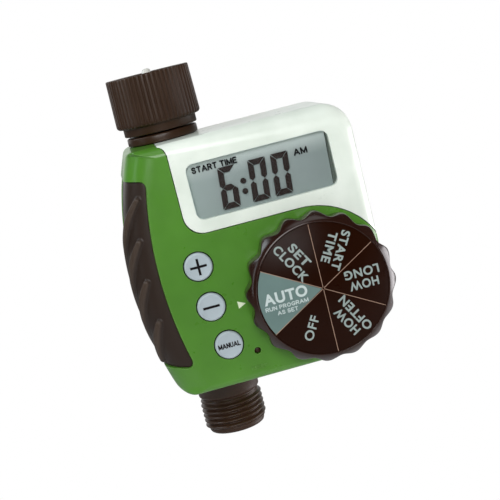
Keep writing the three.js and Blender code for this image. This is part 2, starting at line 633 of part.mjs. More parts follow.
function addCasing() {
  add('front_shell', frontShell(), MATERIAL.green);
  add('display_bezel', displayBezel(), MATERIAL.pale);
  add('rear_shell', rearShell(), MATERIAL.green);
  add('side_grip', sideGrip(), MATERIAL.grip);
  add('lcd_window', windowPlate(), MATERIAL.clear);
  [...POSTS.bezel, ...POSTS.shell].forEach(([x, z], k) => {
    add(`case_screw_${k + 1}`, screw(CASE_SCREW).translate(x, SCREW_SEAT, z), MATERIAL.steel);
  });
}

function addWaterPath() {
  add('swivel_nut', swivelNut(), MATERIAL.dark);
  add('nut_retaining_ring', retainingRing(), MATERIAL.steel);
  add('inlet_washer', inletWasher(), MATERIAL.rubber);
  add('filter_screen', filterScreen(), MATERIAL.white);
  add('valve_body', valveBody(), MATERIAL.dark);
  add('outlet_spout', outletSpout(), MATERIAL.dark);
  const oRing = new THREE.TorusGeometry(O_RING.r, O_RING.wire, 5, 20).translate(0, 0, O_RING.z);
  add('spout_o_ring', oRing, MATERIAL.rubber);
  add('valve_bonnet', valveBonnet(), MATERIAL.dark);
  bonnetScrews.forEach(([y, z], k) => {
    const placed = screw(BONNET_SCREW).rotateZ(-Math.PI / 2).translate(BONNET.face + GAP, y, z);
    add(`bonnet_screw_${k + 1}`, placed, MATERIAL.steel);
  });
  add('diaphragm', diaphragm(), MATERIAL.rubber);
  add('valve_poppet', rodX(0, VALVE.z, 6.3, VALVE.seat + GAP, VALVE.face - 0.1), MATERIAL.rubber);
  const closing = coil({ radius: 3.9, length: 4.1, turns: 2.5, wire: 0.35 });
  add('diaphragm_spring', alongX(closing, BONNET.back), MATERIAL.steel);
  add('core_tube', coreTube(), MATERIAL.brass);
  add('plunger', plunger(), MATERIAL.steel);
  const returning = coil({ radius: 2.5, length: 9.4, turns: 4, wire: 0.35 });
  add('plunger_spring', alongX(returning, 36.3), MATERIAL.steel);
  add('solenoid_coil', solenoidCoil(), MATERIAL.copper);
  add('solenoid_frame', solenoidFrame(), MATERIAL.steel);
}

function addElectronics() {
  add('circuit_board', circuitBoard(), MATERIAL.board);
  add('lcd_glass', block(GLASS.x0, GLASS.x1, GLASS.front, GLASS.back, GLASS.z0, GLASS.z1), MATERIAL.display);
  add('zebra_strip', block(6, 60, -28.1, -26.7, -52, -50.4), MATERIAL.rubber);
  add('microcontroller', block(16, 28, -24.5, -22.9, -100, -88), MATERIAL.rubber);
  add('capacitor', rodY(60, -64, 4, -24.5, -12, 16), MATERIAL.blackLead);
  add('button_membrane', buttonMembrane(), MATERIAL.white);
  for (const [name, at] of Object.entries(BUTTONS)) add(`${name}_button`, pushButton(at), MATERIAL.button);
  add('reset_button', resetPin(), MATERIAL.dark);
  const solenoidLead = (x) => lead([x, -9.6, -41], [x, -14, -43], [x, -20, -50], [x, -24.3, -54]);
  add('solenoid_lead_1', solenoidLead(33), MATERIAL.redLead);
  add('solenoid_lead_2', solenoidLead(38), MATERIAL.blackLead);
  const plusLead = lead([26, 4, -63], [26, -4, -64], [25, -14, -68], [25, -24.3, -72]);
  const minusLead = lead([49, 4, -63], [49, -4, -64], [50, -14, -66], [50, -24.3, -68]);
  add('battery_lead_1', plusLead, MATERIAL.redLead);
  add('battery_lead_2', minusLead, MATERIAL.blackLead);
}

function addDial() {
  add('dial_knob', dialKnob(), MATERIAL.dark);
  add('dial_label', dialLabel(), MATERIAL.dark);
  add('dial_spindle', dialSpindle(), MATERIAL.white);
  add('contact_wiper', contactWiper(), MATERIAL.copper);
  add('spindle_clip', spindleClip(), MATERIAL.steel);
  add('spindle_seal', flatRing(3.85, 5.8, -31.2, -30.2), MATERIAL.rubber);
  add('detent_spring', flatRing(4.2, 7.2, -28.4, -27.4), MATERIAL.steel);
}

function addBatteries() {
  const { x, y } = CELL;
  add('battery_tray', batteryTray(), MATERIAL.white);
  add('cell_1', cell(x[0], -110.5, 1), MATERIAL.cell);
  add('cell_2', cell(x[1], -112.6, -1), MATERIAL.cell);
  const contact = () => coil({ radius: 3, endRadius: 2, length: 1.8, turns: 2, wire: 0.3 });
  add('cell_spring_1', contact().translate(x[0], y, -112.6), MATERIAL.steel);
  add('cell_spring_2', contact().rotateX(Math.PI).translate(x[1], y, -60.4), MATERIAL.steel);
  add('contact_bridge', block(24, 51, 8, 20, -60.1, -59.8), MATERIAL.brass);
  add('battery_door', batteryDoor(), MATERIAL.green);
  add('door_gasket', doorGasket(), MATERIAL.rubber);
  add('door_hinge_pin', rodZ(HINGE.x, HINGE.y, HINGE.pin, -105.2, -66.8, 10), MATERIAL.steel);
}

addCasing();
addWaterPath();
addElectronics();
addDial();
addBatteries();

export default timer;
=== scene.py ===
import json
import math

import bmesh
import bpy
from mathutils import Matrix, Vector


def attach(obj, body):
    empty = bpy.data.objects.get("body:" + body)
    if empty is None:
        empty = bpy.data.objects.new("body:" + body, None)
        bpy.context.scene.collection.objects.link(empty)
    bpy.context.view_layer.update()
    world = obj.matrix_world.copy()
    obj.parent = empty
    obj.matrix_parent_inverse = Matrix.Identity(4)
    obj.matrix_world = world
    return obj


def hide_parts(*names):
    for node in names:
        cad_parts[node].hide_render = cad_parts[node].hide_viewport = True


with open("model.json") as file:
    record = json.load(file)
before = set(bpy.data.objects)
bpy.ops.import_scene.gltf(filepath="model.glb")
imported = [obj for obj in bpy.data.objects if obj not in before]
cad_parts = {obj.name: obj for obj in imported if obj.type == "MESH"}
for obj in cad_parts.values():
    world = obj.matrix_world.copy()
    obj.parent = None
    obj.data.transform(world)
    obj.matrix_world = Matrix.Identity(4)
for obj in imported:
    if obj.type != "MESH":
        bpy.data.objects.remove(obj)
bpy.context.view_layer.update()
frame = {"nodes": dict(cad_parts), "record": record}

# A hose-tap timer. Lengths are in millimetres until a mesh is made, and then in metres.
MM = 0.001
GAP = 0.3
WALL = 2.5
FRONT, PARTING, BACK = -34.0, 8.0, 25.0
CASE = {"top": -18.6, "bottom": -120.5, "right": 73.3, "bulge_x": -28.2, "bulge_z": -73.0, "bulge_r": 139.0}
CORNER = {"top_left": 3.5, "top_right": 12.0, "bottom_right": 30.0, "bottom_left": 8.0}
FRONT_EDGE = {"left": 12.0, "top_left": 4.5, "top_right": 9.5, "right": 5.0, "bottom": 3.0}
REAR_EDGE = {"left": 12.0, "top_left": 8.0, "top_right": 8.0, "right": 7.0, "bottom": 7.0}
FULL_TURN = {"left": 90, "top_left": 90, "top_right": 90, "right": 90, "bottom": 90}
FRONT_TURN = {**FULL_TURN, "top_right": 62}
STEP = 0.6  # the rear casing stands this far inside the front one
MERGE = 0.02  # points closer than this become one

DIAL_X, DIAL_Z = 44.3, -88.4
DIAL_R, DIAL_SCALLOP, DIAL_LOBES, DIAL_CREST = 29.56, 1.0, 16, math.radians(14.25)
DIAL_FACE, DIAL_REAR, LABEL_R = -46.0, -35.0, 26.5
SEAM_X, SEAM_CORNER, SEAM_DIAL_R = -2.0, 8.0, 31.7
SEAM_FLARE, HALF_SEAM = 3.0, 0.18
WINDOW_X, WINDOW_Z, WINDOW_W, WINDOW_H, WINDOW_CORNER, WINDOW_SUNK = 32.9, -40.0, 58.6, 22.8, 3.2, 0.8
BUTTONS = {"plus": (-0.9, -69.0), "minus": (0.1, -86.1), "manual": (3.2, -103.1)}
BUTTON_R, BUTTON_CLEARANCE = 5.75, 0.45
RESET_X, RESET_Z, RESET_HOLE, SPINDLE_HOLE = 13.9, -108.7, 1.4, 4.0
POSTS = [(65.0, -24.4), (-18.6, -38.0), (-18.0, -104.0), (65.0, -84.0)]
BOSS_R, RECESS_R, SCREW_HOLE_R = 4.2, 3.2, 1.75
DOOR = {"x0": 20.8, "x1": 53.2, "z0": -113.5, "z1": -59.0, "corner": 3.0}
HINGE_X, HINGE_Y, HINGE_R, HINGE_BORE, HINGE_PIN = 18.6, 26.9, 1.6, 1.0, 0.7
DOOR_KNUCKLE, SHELL_KNUCKLES = (-100.7, -71.3), ((-71, -66.5), (-105.5, -101))
CELL_R, CELL_Y, CELL_LENGTH = 7.25, 13.3, 50
HOSE_PITCH = 2.209
VALVE_Z = -41.4

TURN = 2 * math.pi


# ---- meshes ----

def lerp(a, b, t):
    return a + (b - a) * t


def smooth(t):
    t = min(max(t, 0.0), 1.0)
    return t * t * (3 - 2 * t)


def new_object(name, data):
    obj = bpy.data.objects.new(name, data)
    bpy.context.scene.collection.objects.link(obj)
    return obj


def evaluated(obj):
    """An object's mesh with its modifiers applied."""
    bpy.context.view_layer.update()
    graph = bpy.context.evaluated_depsgraph_get()
    return bpy.data.meshes.new_from_object(obj.evaluated_get(graph))


def make(name, points, faces, shade_smooth=True):
    """A mesh object from points in millimetres, its faces turned outwards."""
    mesh = bpy.data.meshes.new(name)
    mesh.from_pydata([(x * MM, y * MM, z * MM) for x, y, z in points], [], faces)
    obj = new_object(name, mesh)
    clean(obj)
    for polygon in mesh.polygons:
        polygon.use_smooth = shade_smooth
    return obj


def clean(obj, merge=MERGE):
    """Merges points closer than merge millimetres, drops what that flattens and turns the faces outwards."""
    bm = bmesh.new()
    bm.from_mesh(obj.data)
    bmesh.ops.remove_doubles(bm, verts=bm.verts, dist=merge * MM)
    bmesh.ops.dissolve_degenerate(bm, edges=bm.edges, dist=merge * MM * 0.2)
    bmesh.ops.recalc_face_normals(bm, faces=bm.faces)
    bm.to_mesh(obj.data)
    bm.free()


def combine(obj, tools, operation):
    """Booleans, applied one by one. The tools are used up."""
    for tool in tools:
        modifier = obj.modifiers.new("combine", "BOOLEAN")
        modifier.operation = operation
        modifier.solver = "EXACT"
        modifier.object = tool
        result = evaluated(obj)
        obj.modifiers.remove(modifier)
        obj.data = result
        bpy.data.objects.remove(tool)
    return obj


def cut(obj, *tools):
    return combine(obj, tools, "DIFFERENCE")


def meet(obj, *tools):
    return combine(obj, tools, "INTERSECT")


def join(obj, *others):
    return combine(obj, others, "UNION")


def loft(name, rings, closed=False):
    """A surface through rings of equally many points: capped at both ends, or closed on itself."""
    n = len(rings[0])
    points = [p for ring in rings for p in ring]
    faces = []
    last = len(rings) if closed else len(rings) - 1
    for k in range(last):
        a, b = k * n, ((k + 1) % len(rings)) * n
        faces += [(a + i, a + (i + 1) % n, b + (i + 1) % n, b + i) for i in range(n)]
    if not closed:
        faces += [tuple(range(n)), tuple(range((len(rings) - 1) * n, len(rings) * n))]
    return make(name, points, faces)


def lathe(name, profile, axis="z", at=(0, 0, 0), sides=96):
    """A turned part from (radius, height) pairs. They start and end on the axis, or close on themselves."""
    ends_on_axis = profile[0][0] == 0
    rings = []
    for r, h in profile:
        ring = []
        for k in range(sides):
            u, v = r * math.cos(TURN * k / sides), r * math.sin(TURN * k / sides)
            local = {"x": (h, u, v), "y": (u, h, v), "z": (u, v, h)}[axis]
            ring.append(tuple(a + b for a, b in zip(local, at)))
        rings.append(ring)
    return loft(name, rings, closed=not ends_on_axis)


def rod(name, r, start, end, axis, at=(0, 0, 0), sides=48):
    return lathe(name, [(0, start), (r, start), (r, end), (0, end)], axis, at, sides)


def block(name, x0, x1, y0, y1, z0, z1):
    points = [(x, y, z) for x in (x0, x1) for y in (y0, y1) for z in (z0, z1)]
    faces = [(0, 1, 3, 2), (4, 6, 7, 5), (0, 4, 5, 1), (2, 3, 7, 6), (0, 2, 6, 4), (1, 5, 7, 3)]
    return make(name, points, faces, shade_smooth=False)


def prism(name, outline, y0, y1):
    """An outline of (x, z) points, extruded along Y."""
    return loft(name, [[(x, y, z) for x, z in outline] for y in (y0, y1)])


def around(z, radii):
    """A level ring of evenly spaced points, one for each radius."""
    turns = [TURN * k / len(radii) for k in range(len(radii))]
    return [(r * math.cos(turn), r * math.sin(turn), z) for r, turn in zip(radii, turns)]


def arc(x, z, r, start, end, steps=12):
    """Points of an arc in X and Z. Angles are in degrees."""
    angles = [math.radians(lerp(start, end, k / steps)) for k in range(steps + 1)]
    return [(x + r * math.cos(a), z + r * math.sin(a)) for a in angles]


def curve(p, q, r, steps=10):
    """Points of a quadratic curve from p to r, pulled towards q."""
    shares = [((1 - t) ** 2, 2 * t * (1 - t), t * t) for t in (k / steps for k in range(steps + 1))]
    return [tuple(i * a + j * b + k * c for a, b, c in zip(p, q, r)) for i, j, k in shares]


def rounded_rectangle(x0, x1, z0, z1, r, steps=8):
    return (
        arc(x1 - r, z1 - r, r, 0, 90, steps) + arc(x0 + r, z1 - r, r, 90, 180, steps)
        + arc(x0 + r, z0 + r, r, 180, 270, steps) + arc(x1 - r, z0 + r, r, 270, 360, steps)
    )


def soften(obj, width, segments=3, angle=38):
    """Rounds the sharp edges and keeps the flat faces flat."""
    bevel = obj.modifiers.new("edges", "BEVEL")
    bevel.width = width * MM
    bevel.segments = segments
    bevel.limit_method = "ANGLE"
    bevel.angle_limit = math.radians(angle)
    bevel.miter_outer = "MITER_ARC"
    bevel.use_clamp_overlap = True
    normals = obj.modifiers.new("normals", "WEIGHTED_NORMAL")
    normals.keep_sharp = False
    normals.weight = 90


def trim(obj, name, width, segments=3):
    """Puts a mesh in order after booleans: its name, its points and its sharp edges."""
    obj.name = name
    clean(obj)
    soften(obj, width, segments)


# ---- materials ----

def srgb(r, g, b):
    """A colour given as 0 to 255 display values, in linear light."""
    linear = [c / 255 / 12.92 if c <= 10.3 else ((c / 255 + 0.055) / 1.055) ** 2.4 for c in (r, g, b)]
    return (*linear, 1.0)


class Nodes:
    """A short way to write the node tree of a new material, or of the world."""

    def __init__(self, name, world=None):
        self.material = world or bpy.data.materials.new(name)
        self.material.use_nodes = True
        self.tree = self.material.node_tree
        self.shader = self.tree.nodes["Background" if world else "Principled BSDF"]
        self.coordinates = self.add("ShaderNodeTexCoord").outputs
        self.place = self.coordinates["Object"]

    def add(self, kind, **values):
        node = self.tree.nodes.new(kind)
        for key, value in values.items():
            if hasattr(node, key):
                setattr(node, key, value)
            else:
                node.inputs[key.replace("_", " ").title()].default_value = value
        return node

    def link(self, output, target):
        self.tree.links.new(output, target)

    def feed(self, *pairs):
        """Gives each socket a constant, or links another node's output to it."""
        for socket, value in pairs:
            if hasattr(value, "links"):
                self.link(value, socket)
            else:
                socket.default_value = value

    def surface(self, values):
        """Feeds the shader's own sockets, by name."""
        self.feed(*((self.shader.inputs[key], value) for key, value in values.items()))

    def noise(self, scale, detail=2.0, roughness=0.5):
        node = self.add("ShaderNodeTexNoise", Scale=scale, Detail=detail, Roughness=roughness)
        self.link(self.place, node.inputs["Vector"])
        return node.outputs["Fac"]

    def ramp(self, value, low, high, out_low=0.0, out_high=1.0):
        node = self.add("ShaderNodeMapRange")
        sockets = [node.inputs[key] for key in ("From Min", "From Max", "To Min", "To Max", "Value")]
        self.feed(*zip(sockets, (low, high, out_low, out_high, value)))
        return node.outputs["Result"]

    def mix(self, factor, a, b):
        node = self.add("ShaderNodeMix", data_type="RGBA")
        self.feed((node.inputs[0], factor), (node.inputs[6], a), (node.inputs[7], b))
        return node.outputs[2]

    def math(self, operation, a, b=0.0):
        node = self.add("ShaderNodeMath", operation=operation)
        self.feed((node.inputs[0], a), (node.inputs[1], b))
        return node.outputs[0]

    def worn_and_highlit_edges(self, radius):
        """Near 1 on sharp edges and 0 elsewhere."""
        bevel = self.add("ShaderNodeBevel", samples=4)
        bevel.inputs["Radius"].default_value = radius * MM
        geometry = self.add("ShaderNodeNewGeometry")
        dot = self.add("ShaderNodeVectorMath", operation="DOT_PRODUCT")
        self.link(bevel.outputs["Normal"], dot.inputs[0])
        self.link(geometry.outputs["Normal"], dot.inputs[1])
        return self.ramp(dot.outputs["Value"], 0.995, 0.80)

    def bump(self, height, strength, distance):
        node = self.add("ShaderNodeBump")
        sockets = [node.inputs[key] for key in ("Strength", "Distance", "Height")]
        self.feed(*zip(sockets, (strength, distance * MM, height)))
        self.surface({"Normal": node.outputs["Normal"]})

    def seen_white(self, end):
        """The camera sees plain white and everything else sees the shader. end is the output node's name."""
        path, white, mix = (self.add(f"ShaderNode{kind}") for kind in ("LightPath", "Emission", "MixShader"))
        self.feed(*zip(mix.inputs, (path.outputs["Is Camera Ray"], self.shader.outputs[0], white.outputs[0])))
        self.link(mix.outputs[0], self.tree.nodes[end].inputs["Surface"])


def moulded(name, color, roughness, grain=2600.0, relief=0.02, edge=None, edge_amount=0.5, coat=0.0,
            metallic=0.0, specular=0.5):
    """Moulded plastic, rubber or metal: slight mottling, a fine grained skin and paler edges, partly rubbed
    and partly a painted highlight.
    """
    n = Nodes(name)
    shade = n.ramp(n.noise(70.0, 4.0), 0.3, 0.7, 0.0, 1.0)
    dark = tuple(c * 0.92 for c in color[:3]) + (1.0,)
    light = tuple(min(c * 1.06, 1.0) for c in color[:3]) + (1.0,)
    base = n.mix(shade, dark, light)
    # The edge colour lines the sharp edges: partly wear, partly a painted highlight for the light that those
    # edges catch.
    if edge:
        wear_and_painted_light = n.math("MULTIPLY", n.worn_and_highlit_edges(0.5), edge_amount)
        base = n.mix(n.math("MULTIPLY", wear_and_painted_light, n.ramp(n.noise(900.0, 3.0), 0.3, 0.6)), base, edge)
    patches = n.ramp(n.noise(160.0, 5.0, 0.6), 0.25, 0.75, roughness * 0.85, roughness * 1.2)
    n.surface({
        "Base Color": base, "Roughness": patches, "Metallic": metallic, "Specular IOR Level": specular,
        "Coat Weight": coat, "Coat Roughness": 0.12,
    })
    n.bump(n.noise(grain, 3.0, 0.6), 0.35, relief)
    return n.material


def ridged_rubber():
    """Soft rubber, with painted light on its ridges and painted shade in its valleys, partly wear where hands
    rub the ridges.
    """
    n = Nodes("grip_rubber")
    lift = n.add("ShaderNodeAttribute")
    lift.attribute_name = "lift"
    # Painted shade in the valleys and painted light on the ridges, by height above the casing, with some wear
    # on the ridges.
    wear_and_painted_light = n.ramp(lift.outputs["Fac"], -0.4, 0.78)
    patchy_painted_light = n.math("MULTIPLY", wear_and_painted_light, n.ramp(n.noise(260.0, 4.0), 0.2, 0.8, 0.8, 1.0))
    n.surface({
        "Base Color": n.mix(patchy_painted_light, srgb(44, 31, 23), srgb(72, 58, 48)), "Specular IOR Level": 0.35,
        "Roughness": n.ramp(n.noise(160.0, 5.0, 0.6), 0.25, 0.75, 0.36, 0.50),
    })
    n.bump(n.noise(2600.0, 3.0, 0.6), 0.35, 0.04)
    return n.material


def printed(name, *color):
    """Screen-printed ink."""
    return moulded(name, srgb(*color), 0.5, grain=5000.0, relief=0.01, specular=0.12)


def clear_window():
    n = Nodes("clear_window")
    patches = n.ramp(n.noise(300.0, 4.0), 0.3, 0.8, 0.03, 0.09)
    n.surface({"Base Color": (0.05, 0.06, 0.06, 1.0), "Alpha": 0.12, "Roughness": patches})
    n.bump(n.noise(120.0), 0.1, 0.01)
    return n.material


def display_panel():
    """The liquid-crystal cell's grey ground: darker towards its right, with painted light along its top where
    the frame casts a shadow.
    """
    n = Nodes("display_panel")
    split = n.add("ShaderNodeSeparateXYZ")
    n.link(n.place, split.inputs[0])
    shade = n.math("MULTIPLY", n.ramp(split.outputs["X"], 0.004, 0.062), 0.6)
    base = n.mix(shade, srgb(186, 204, 201), srgb(158, 173, 172))
    # Painted light: the top strip is lightened to cancel the frame's shadow.
    painted_light_under_frame = n.ramp(split.outputs["Z"], -0.037, -0.0295, 0.0, 0.9)
    base = n.mix(painted_light_under_frame, base, srgb(238, 253, 249))
    speckle = n.math("MULTIPLY", n.ramp(n.noise(3500.0, 2.0), 0.2, 0.8), 0.06)
    n.surface({"Base Color": n.mix(speckle, base, srgb(90, 100, 100)), "Roughness": 0.45})
    n.bump(n.noise(2500.0), 0.05, 0.01)
    return n.material


def enamelled_winding():
    n = Nodes("winding")
    wave = n.add("ShaderNodeTexWave", Scale=900.0, Distortion=0.5)
    n.link(n.place, wave.inputs["Vector"])
    base = n.mix(wave.outputs["Fac"], srgb(120, 60, 28), srgb(190, 110, 60))
    n.surface({"Base Color": base, "Metallic": 0.8, "Roughness": 0.35})
    n.bump(wave.outputs["Fac"], 0.5, 0.1)
    return n.material


INKS = {
    "ink_black": (20, 16, 18), "ink_dial": (158, 172, 168), "ink_auto": (108, 132, 128),
    "ink_line": (176, 146, 126), "ink_light": (205, 218, 216), "ink_pointer": (232, 245, 212),
}


def make_materials():
    return {
        "green_casing": moulded("green_plastic", srgb(80, 138, 40), 0.30, grain=1800.0, relief=0.012,
                                edge=srgb(150, 195, 110), coat=0.15),
        "pale_bezel": moulded("pale_plastic", srgb(240, 251, 238), 0.30, grain=1800.0, relief=0.012,
                              edge=srgb(245, 252, 245), coat=0.2),
        "clear_window": clear_window(),
        "display": display_panel(),
        "grip_rubber": ridged_rubber(),
        "dark_nylon": moulded("dark_nylon", srgb(56, 37, 24), 0.34, edge=srgb(105, 84, 66), specular=0.3),
        "button_rubber": moulded("button_rubber", srgb(182, 196, 202), 0.45, edge=srgb(225, 232, 235)),
        "dial_rim": moulded("dial_plastic", srgb(40, 18, 10), 0.2, edge=srgb(130, 96, 78), edge_amount=0.4,
                            coat=0.35, specular=0.35),
        "dial_print": moulded("dial_film", srgb(34, 12, 3), 0.3, specular=0.07),
        "black_rubber": moulded("black_rubber", srgb(26, 26, 26), 0.6),
        "white_plastic": moulded("white_plastic", srgb(228, 228, 220), 0.45),
        "board": moulded("circuit_board", srgb(28, 98, 50), 0.35),
        "copper": enamelled_winding(),
        "steel": moulded("steel", srgb(190, 190, 192), 0.3, metallic=1.0),
        "brass": moulded("brass", srgb(205, 165, 90), 0.3, metallic=1.0),
        "cell_jacket": moulded("cell_jacket", srgb(52, 86, 150), 0.25, coat=0.3),
        "red_lead": moulded("red_lead", srgb(180, 30, 28), 0.4),
        "black_lead": moulded("black_lead", srgb(24, 24, 24), 0.4),
        **{name: printed(name, *color) for name, color in INKS.items()},
        "segment": printed("display_segment", 50, 36, 32),
        "display_seal": moulded("display_seal", srgb(96, 108, 98), 0.5),
    }


material = make_materials()


def finish(obj, slot, body="case", look=None, replaces=()):
    """Gives a piece its material, its body and the CAD nodes that it stands for."""
    obj.data.materials.clear()
    obj.data.materials.append(material[look or slot])
    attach(obj, body)
    if replaces:
        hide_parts(*replaces)


# ---- casing ----

def case_ring(inset, depth, steps=14, side_steps=36):
    """One ring of the casing: its outline moved in by inset, at depth y. Both are given side by side."""
    top_left, top_right = CASE["top"] - inset["top_left"], CASE["top"] - inset["top_right"]
    bottom = CASE["bottom"] + inset["bottom"]
    right = CASE["right"] - inset["right"]
    bulge_x, bulge_z = CASE["bulge_x"] + CASE["bulge_r"], CASE["bulge_z"]
    bulge_r = CASE["bulge_r"] - inset["left"]

    def shrunk(corner, a, b):
        return max(CORNER[corner] - (inset[a] + inset[b]) / 2, 0.8)

    def beside(z, r):
        return bulge_x - math.sqrt((bulge_r - r) ** 2 - (z - bulge_z) ** 2)

    tl, tr = shrunk("top_left", "top_left", "left"), shrunk("top_right", "top_right", "right")
    bl, br = shrunk("bottom_left", "bottom", "left"), shrunk("bottom_right", "bottom", "right")
    upper, lower = top_left - tl, bottom + bl
    upper_x, lower_x = beside(upper, tl), beside(lower, bl)
    upper_angle = math.degrees(math.atan2(upper - bulge_z, upper_x - bulge_x))
    lower_angle = math.degrees(math.atan2(lower - bulge_z, lower_x - bulge_x)) + 360
    stretches = [
        (arc(right - br, bottom + br, br, -90, 0, steps), "bottom", "right"),
        (arc(right - tr, top_right - tr, tr, 0, 90, steps), "right", "top_right"),
        (arc(upper_x, upper, tl, 90, upper_angle, steps), "top_left", "left"),
        (arc(bulge_x, bulge_z, bulge_r, upper_angle, lower_angle, side_steps)[1:-1], "left", "left"),
        (arc(lower_x, lower, bl, lower_angle, 270, steps), "left", "bottom"),
    ]
    ring = []
    for points, a, b in stretches:
        for k, (x, z) in enumerate(points):
            y = lerp(depth[a], depth[b], smooth(k / (len(points) - 1)))
            ring.append((x, y, z))
    return ring


def case_body(name, face, edge, turn, inset, steps=10):
    """The casing's solid form, moved in by inset, from one face to just past the parting line."""
    inward = 1 if face < PARTING else -1
    rings = []
    for k in range(steps + 1):
        insets, depths = {}, {}
        for side, r in edge.items():
            height = max(r - inset, 0.5)
            whole = math.radians(turn[side])
            radius, angle = height / math.sin(whole), whole * k / steps
            insets[side] = inset + height - radius * math.sin(angle)
            depths[side] = face + inward * (inset + radius * (1 - math.cos(angle)))
        rings.append(case_ring(insets, depths))
    rings.append(case_ring(dict.fromkeys(edge, inset), dict.fromkeys(edge, PARTING + inward * 12)))
    return loft(name, rings)


def front_body(inset):
    return case_body("front_body", FRONT, FRONT_EDGE, FRONT_TURN, inset)


def rear_body(inset):
    return case_body("rear_body", BACK + STEP, REAR_EDGE, FULL_TURN, inset + STEP)


def slab(y0, y1):
    return block("slab", -60, 110, y0, y1, -200, 60)


def seam_outline(grow):
    """The pale bezel's edge: down from the top, round a corner, along, and round the dial."""
    x, r = SEAM_X - grow, SEAM_DIAL_R - grow
    z = DIAL_Z + r
    top = CASE["top"]
    flare = curve((x - SEAM_FLARE, top - 0.6), (x - 0.1, top - 1.0), (x, top - 5.5), 8)
    corner = arc(x + SEAM_CORNER, z + SEAM_CORNER, SEAM_CORNER, 180, 270, 14)
    round_dial = arc(DIAL_X, DIAL_Z, r, 90, 22.9, 22)
    return [(x - SEAM_FLARE, 0), *flare, *corner, *round_dial, (90, round_dial[-1][1]), (90, 0)]


def bezel_region(grow):
    return prism("bezel_region", seam_outline(grow), -60, 40)


def grip_outline(grow):
    return [
        (-40, -27 + grow),
        *curve((-15.3, -30.6 + grow), (-12.9 + grow, -31 + grow), (-13.1 + grow, -33.6), 8),
        *curve((-13.1 + grow, -33.6), (-20.9 + grow, -69.6), (-12.8 + grow, -105.5), 30)[1:],
        *curve((-12.8 + grow, -105.5), (-12.5 + grow, -108.6 - grow), (-15.5, -108.1 - grow), 8)[1:],
        (-40, -103.5 - grow),
    ]


def grip_region(grow):
    return prism("grip_region", grip_outline(grow), -60, 40)


def neck_hole():
    return rod("neck_hole", 13.5, -30, -10, "z", sides=96)


def spout_hole():
    return rod("spout_hole", 13.8, -130, -110, "z", sides=96)


def make_front_shell():
    pocket = cut(grip_region(GAP), front_body(1.2))
    shell = meet(front_body(0), slab(-80, PARTING - GAP / 2))
    cut(shell, front_body(WALL), bezel_region(HALF_SEAM), pocket, neck_hole(), spout_hole())
    holes = [(*place, BUTTON_R + BUTTON_CLEARANCE, 72) for place in BUTTONS.values()]
    holes += [(RESET_X, RESET_Z, RESET_HOLE, 32), (DIAL_X, DIAL_Z, SPINDLE_HOLE, 48)]
    for x, z, r, sides in holes:
        cut(shell, rod("hole", r, FRONT - 1, FRONT + 6, "y", (x, 0, z), sides))
    trim(shell, "casing_front", 0.35)
    finish(shell, "green_casing", replaces=["front_shell"])


def window_outline(grow):
    return rounded_rectangle(
        WINDOW_X - WINDOW_W / 2 - grow, WINDOW_X + WINDOW_W / 2 + grow,
        WINDOW_Z - WINDOW_H / 2 - grow, WINDOW_Z + WINDOW_H / 2 + grow, WINDOW_CORNER + grow,
    )


def make_bezel():
    bezel = meet(front_body(0), slab(-80, PARTING - GAP / 2), bezel_region(-HALF_SEAM))
    opening = prism("opening", window_outline(0), FRONT - 1, FRONT + WALL + 1)
    cut(bezel, front_body(WALL), neck_hole(), opening)
    trim(bezel, "bezel", 0.45)
    finish(bezel, "pale_bezel", replaces=["display_bezel"])


def hinge_bore():
    return rod("bore", HINGE_BORE, -115, -60, "z", (HINGE_X, HINGE_Y, 0), 32)


def make_rear_shell():
    shell = meet(rear_body(0), slab(PARTING + GAP / 2, 80))
    cut(shell, rear_body(WALL), neck_hole(), spout_hole(), door_region(GAP))
    for x, z in POSTS:
        join(shell, meet(rod("boss", BOSS_R, PARTING + GAP, BACK, "y", (x, 0, z)), rear_body(1.0)))
        cut(shell, rod("recess", RECESS_R, 12, BACK + 3, "y", (x, 0, z)))
        cut(shell, rod("hole", SCREW_HOLE_R, 0, BACK, "y", (x, 0, z)))
    for z0, z1 in SHELL_KNUCKLES:
        join(shell, block("lug", HINGE_X - 3.2, HINGE_X, BACK - 0.5, HINGE_Y + 0.6, z0, z1))
        join(shell, rod("knuckle", HINGE_R, z0, z1, "z", (HINGE_X, HINGE_Y, 0)))
    cut(shell, hinge_bore())
    trim(shell, "casing_rear", 0.35)
    finish(shell, "green_casing", replaces=["rear_shell"])


def door_region(grow):
    outline = rounded_rectangle(
        DOOR["x0"] - grow, DOOR["x1"] + grow, DOOR["z0"] - grow, DOOR["z1"] + grow, DOOR["corner"],
    )
    return prism("door_region", outline, 15, 40)


def make_door():
    door = meet(rear_body(0), door_region(0))
    cut(door, rear_body(WALL), slab(-80, BACK - 8))
    z0, z1 = DOOR_KNUCKLE
    join(door, block("arm", HINGE_X, DOOR["x0"] + 3, BACK + GAP, BACK + 1.9, z0, z1))
    join(door, block("foot", DOOR["x0"] + 0.6, DOOR["x0"] + 3, BACK - 1, BACK + 1, z0, z1))
    join(door, rod("knuckle", HINGE_R, z0, z1, "z", (HINGE_X, HINGE_Y, 0)))
    for k in range(3):
        x = DOOR["x1"] - 3 + 0.9 * k
        join(door, block("tab", x, x + 0.5, BACK - 1, BACK + 1.3, -96, -78))
    cut(door, hinge_bore())
    trim(door, "door", 0.3)
    finish(door, "green_casing", "door", replaces=["battery_door"])


# ---- side grip ----

GRIP_SUNK, GRIP_BACK, GRIP_EDGE = 0.9, -1.2, -1.05  # its face between ridges, its hidden back and its rim
GRIP_REACH = {"top": -26.5, "bottom": -110, "round": 56}
RIDGE_HEIGHT = 1.66
RIDGES = [-37.0, -53.5, -70.0, -87.0]  # height of each tip
RIDGE_TIP = 44.3  # how far round the casing's side the tips are
RIDGE_FALL = 1.69  # slope of a ridge near its tip
RIDGE_R = 1.75


def left_side(z):
    """Where the casing's bulging left side is at height z."""
    return CASE["bulge_x"] + CASE["bulge_r"] - math.sqrt(CASE["bulge_r"] ** 2 - (z - CASE["bulge_z"]) ** 2)


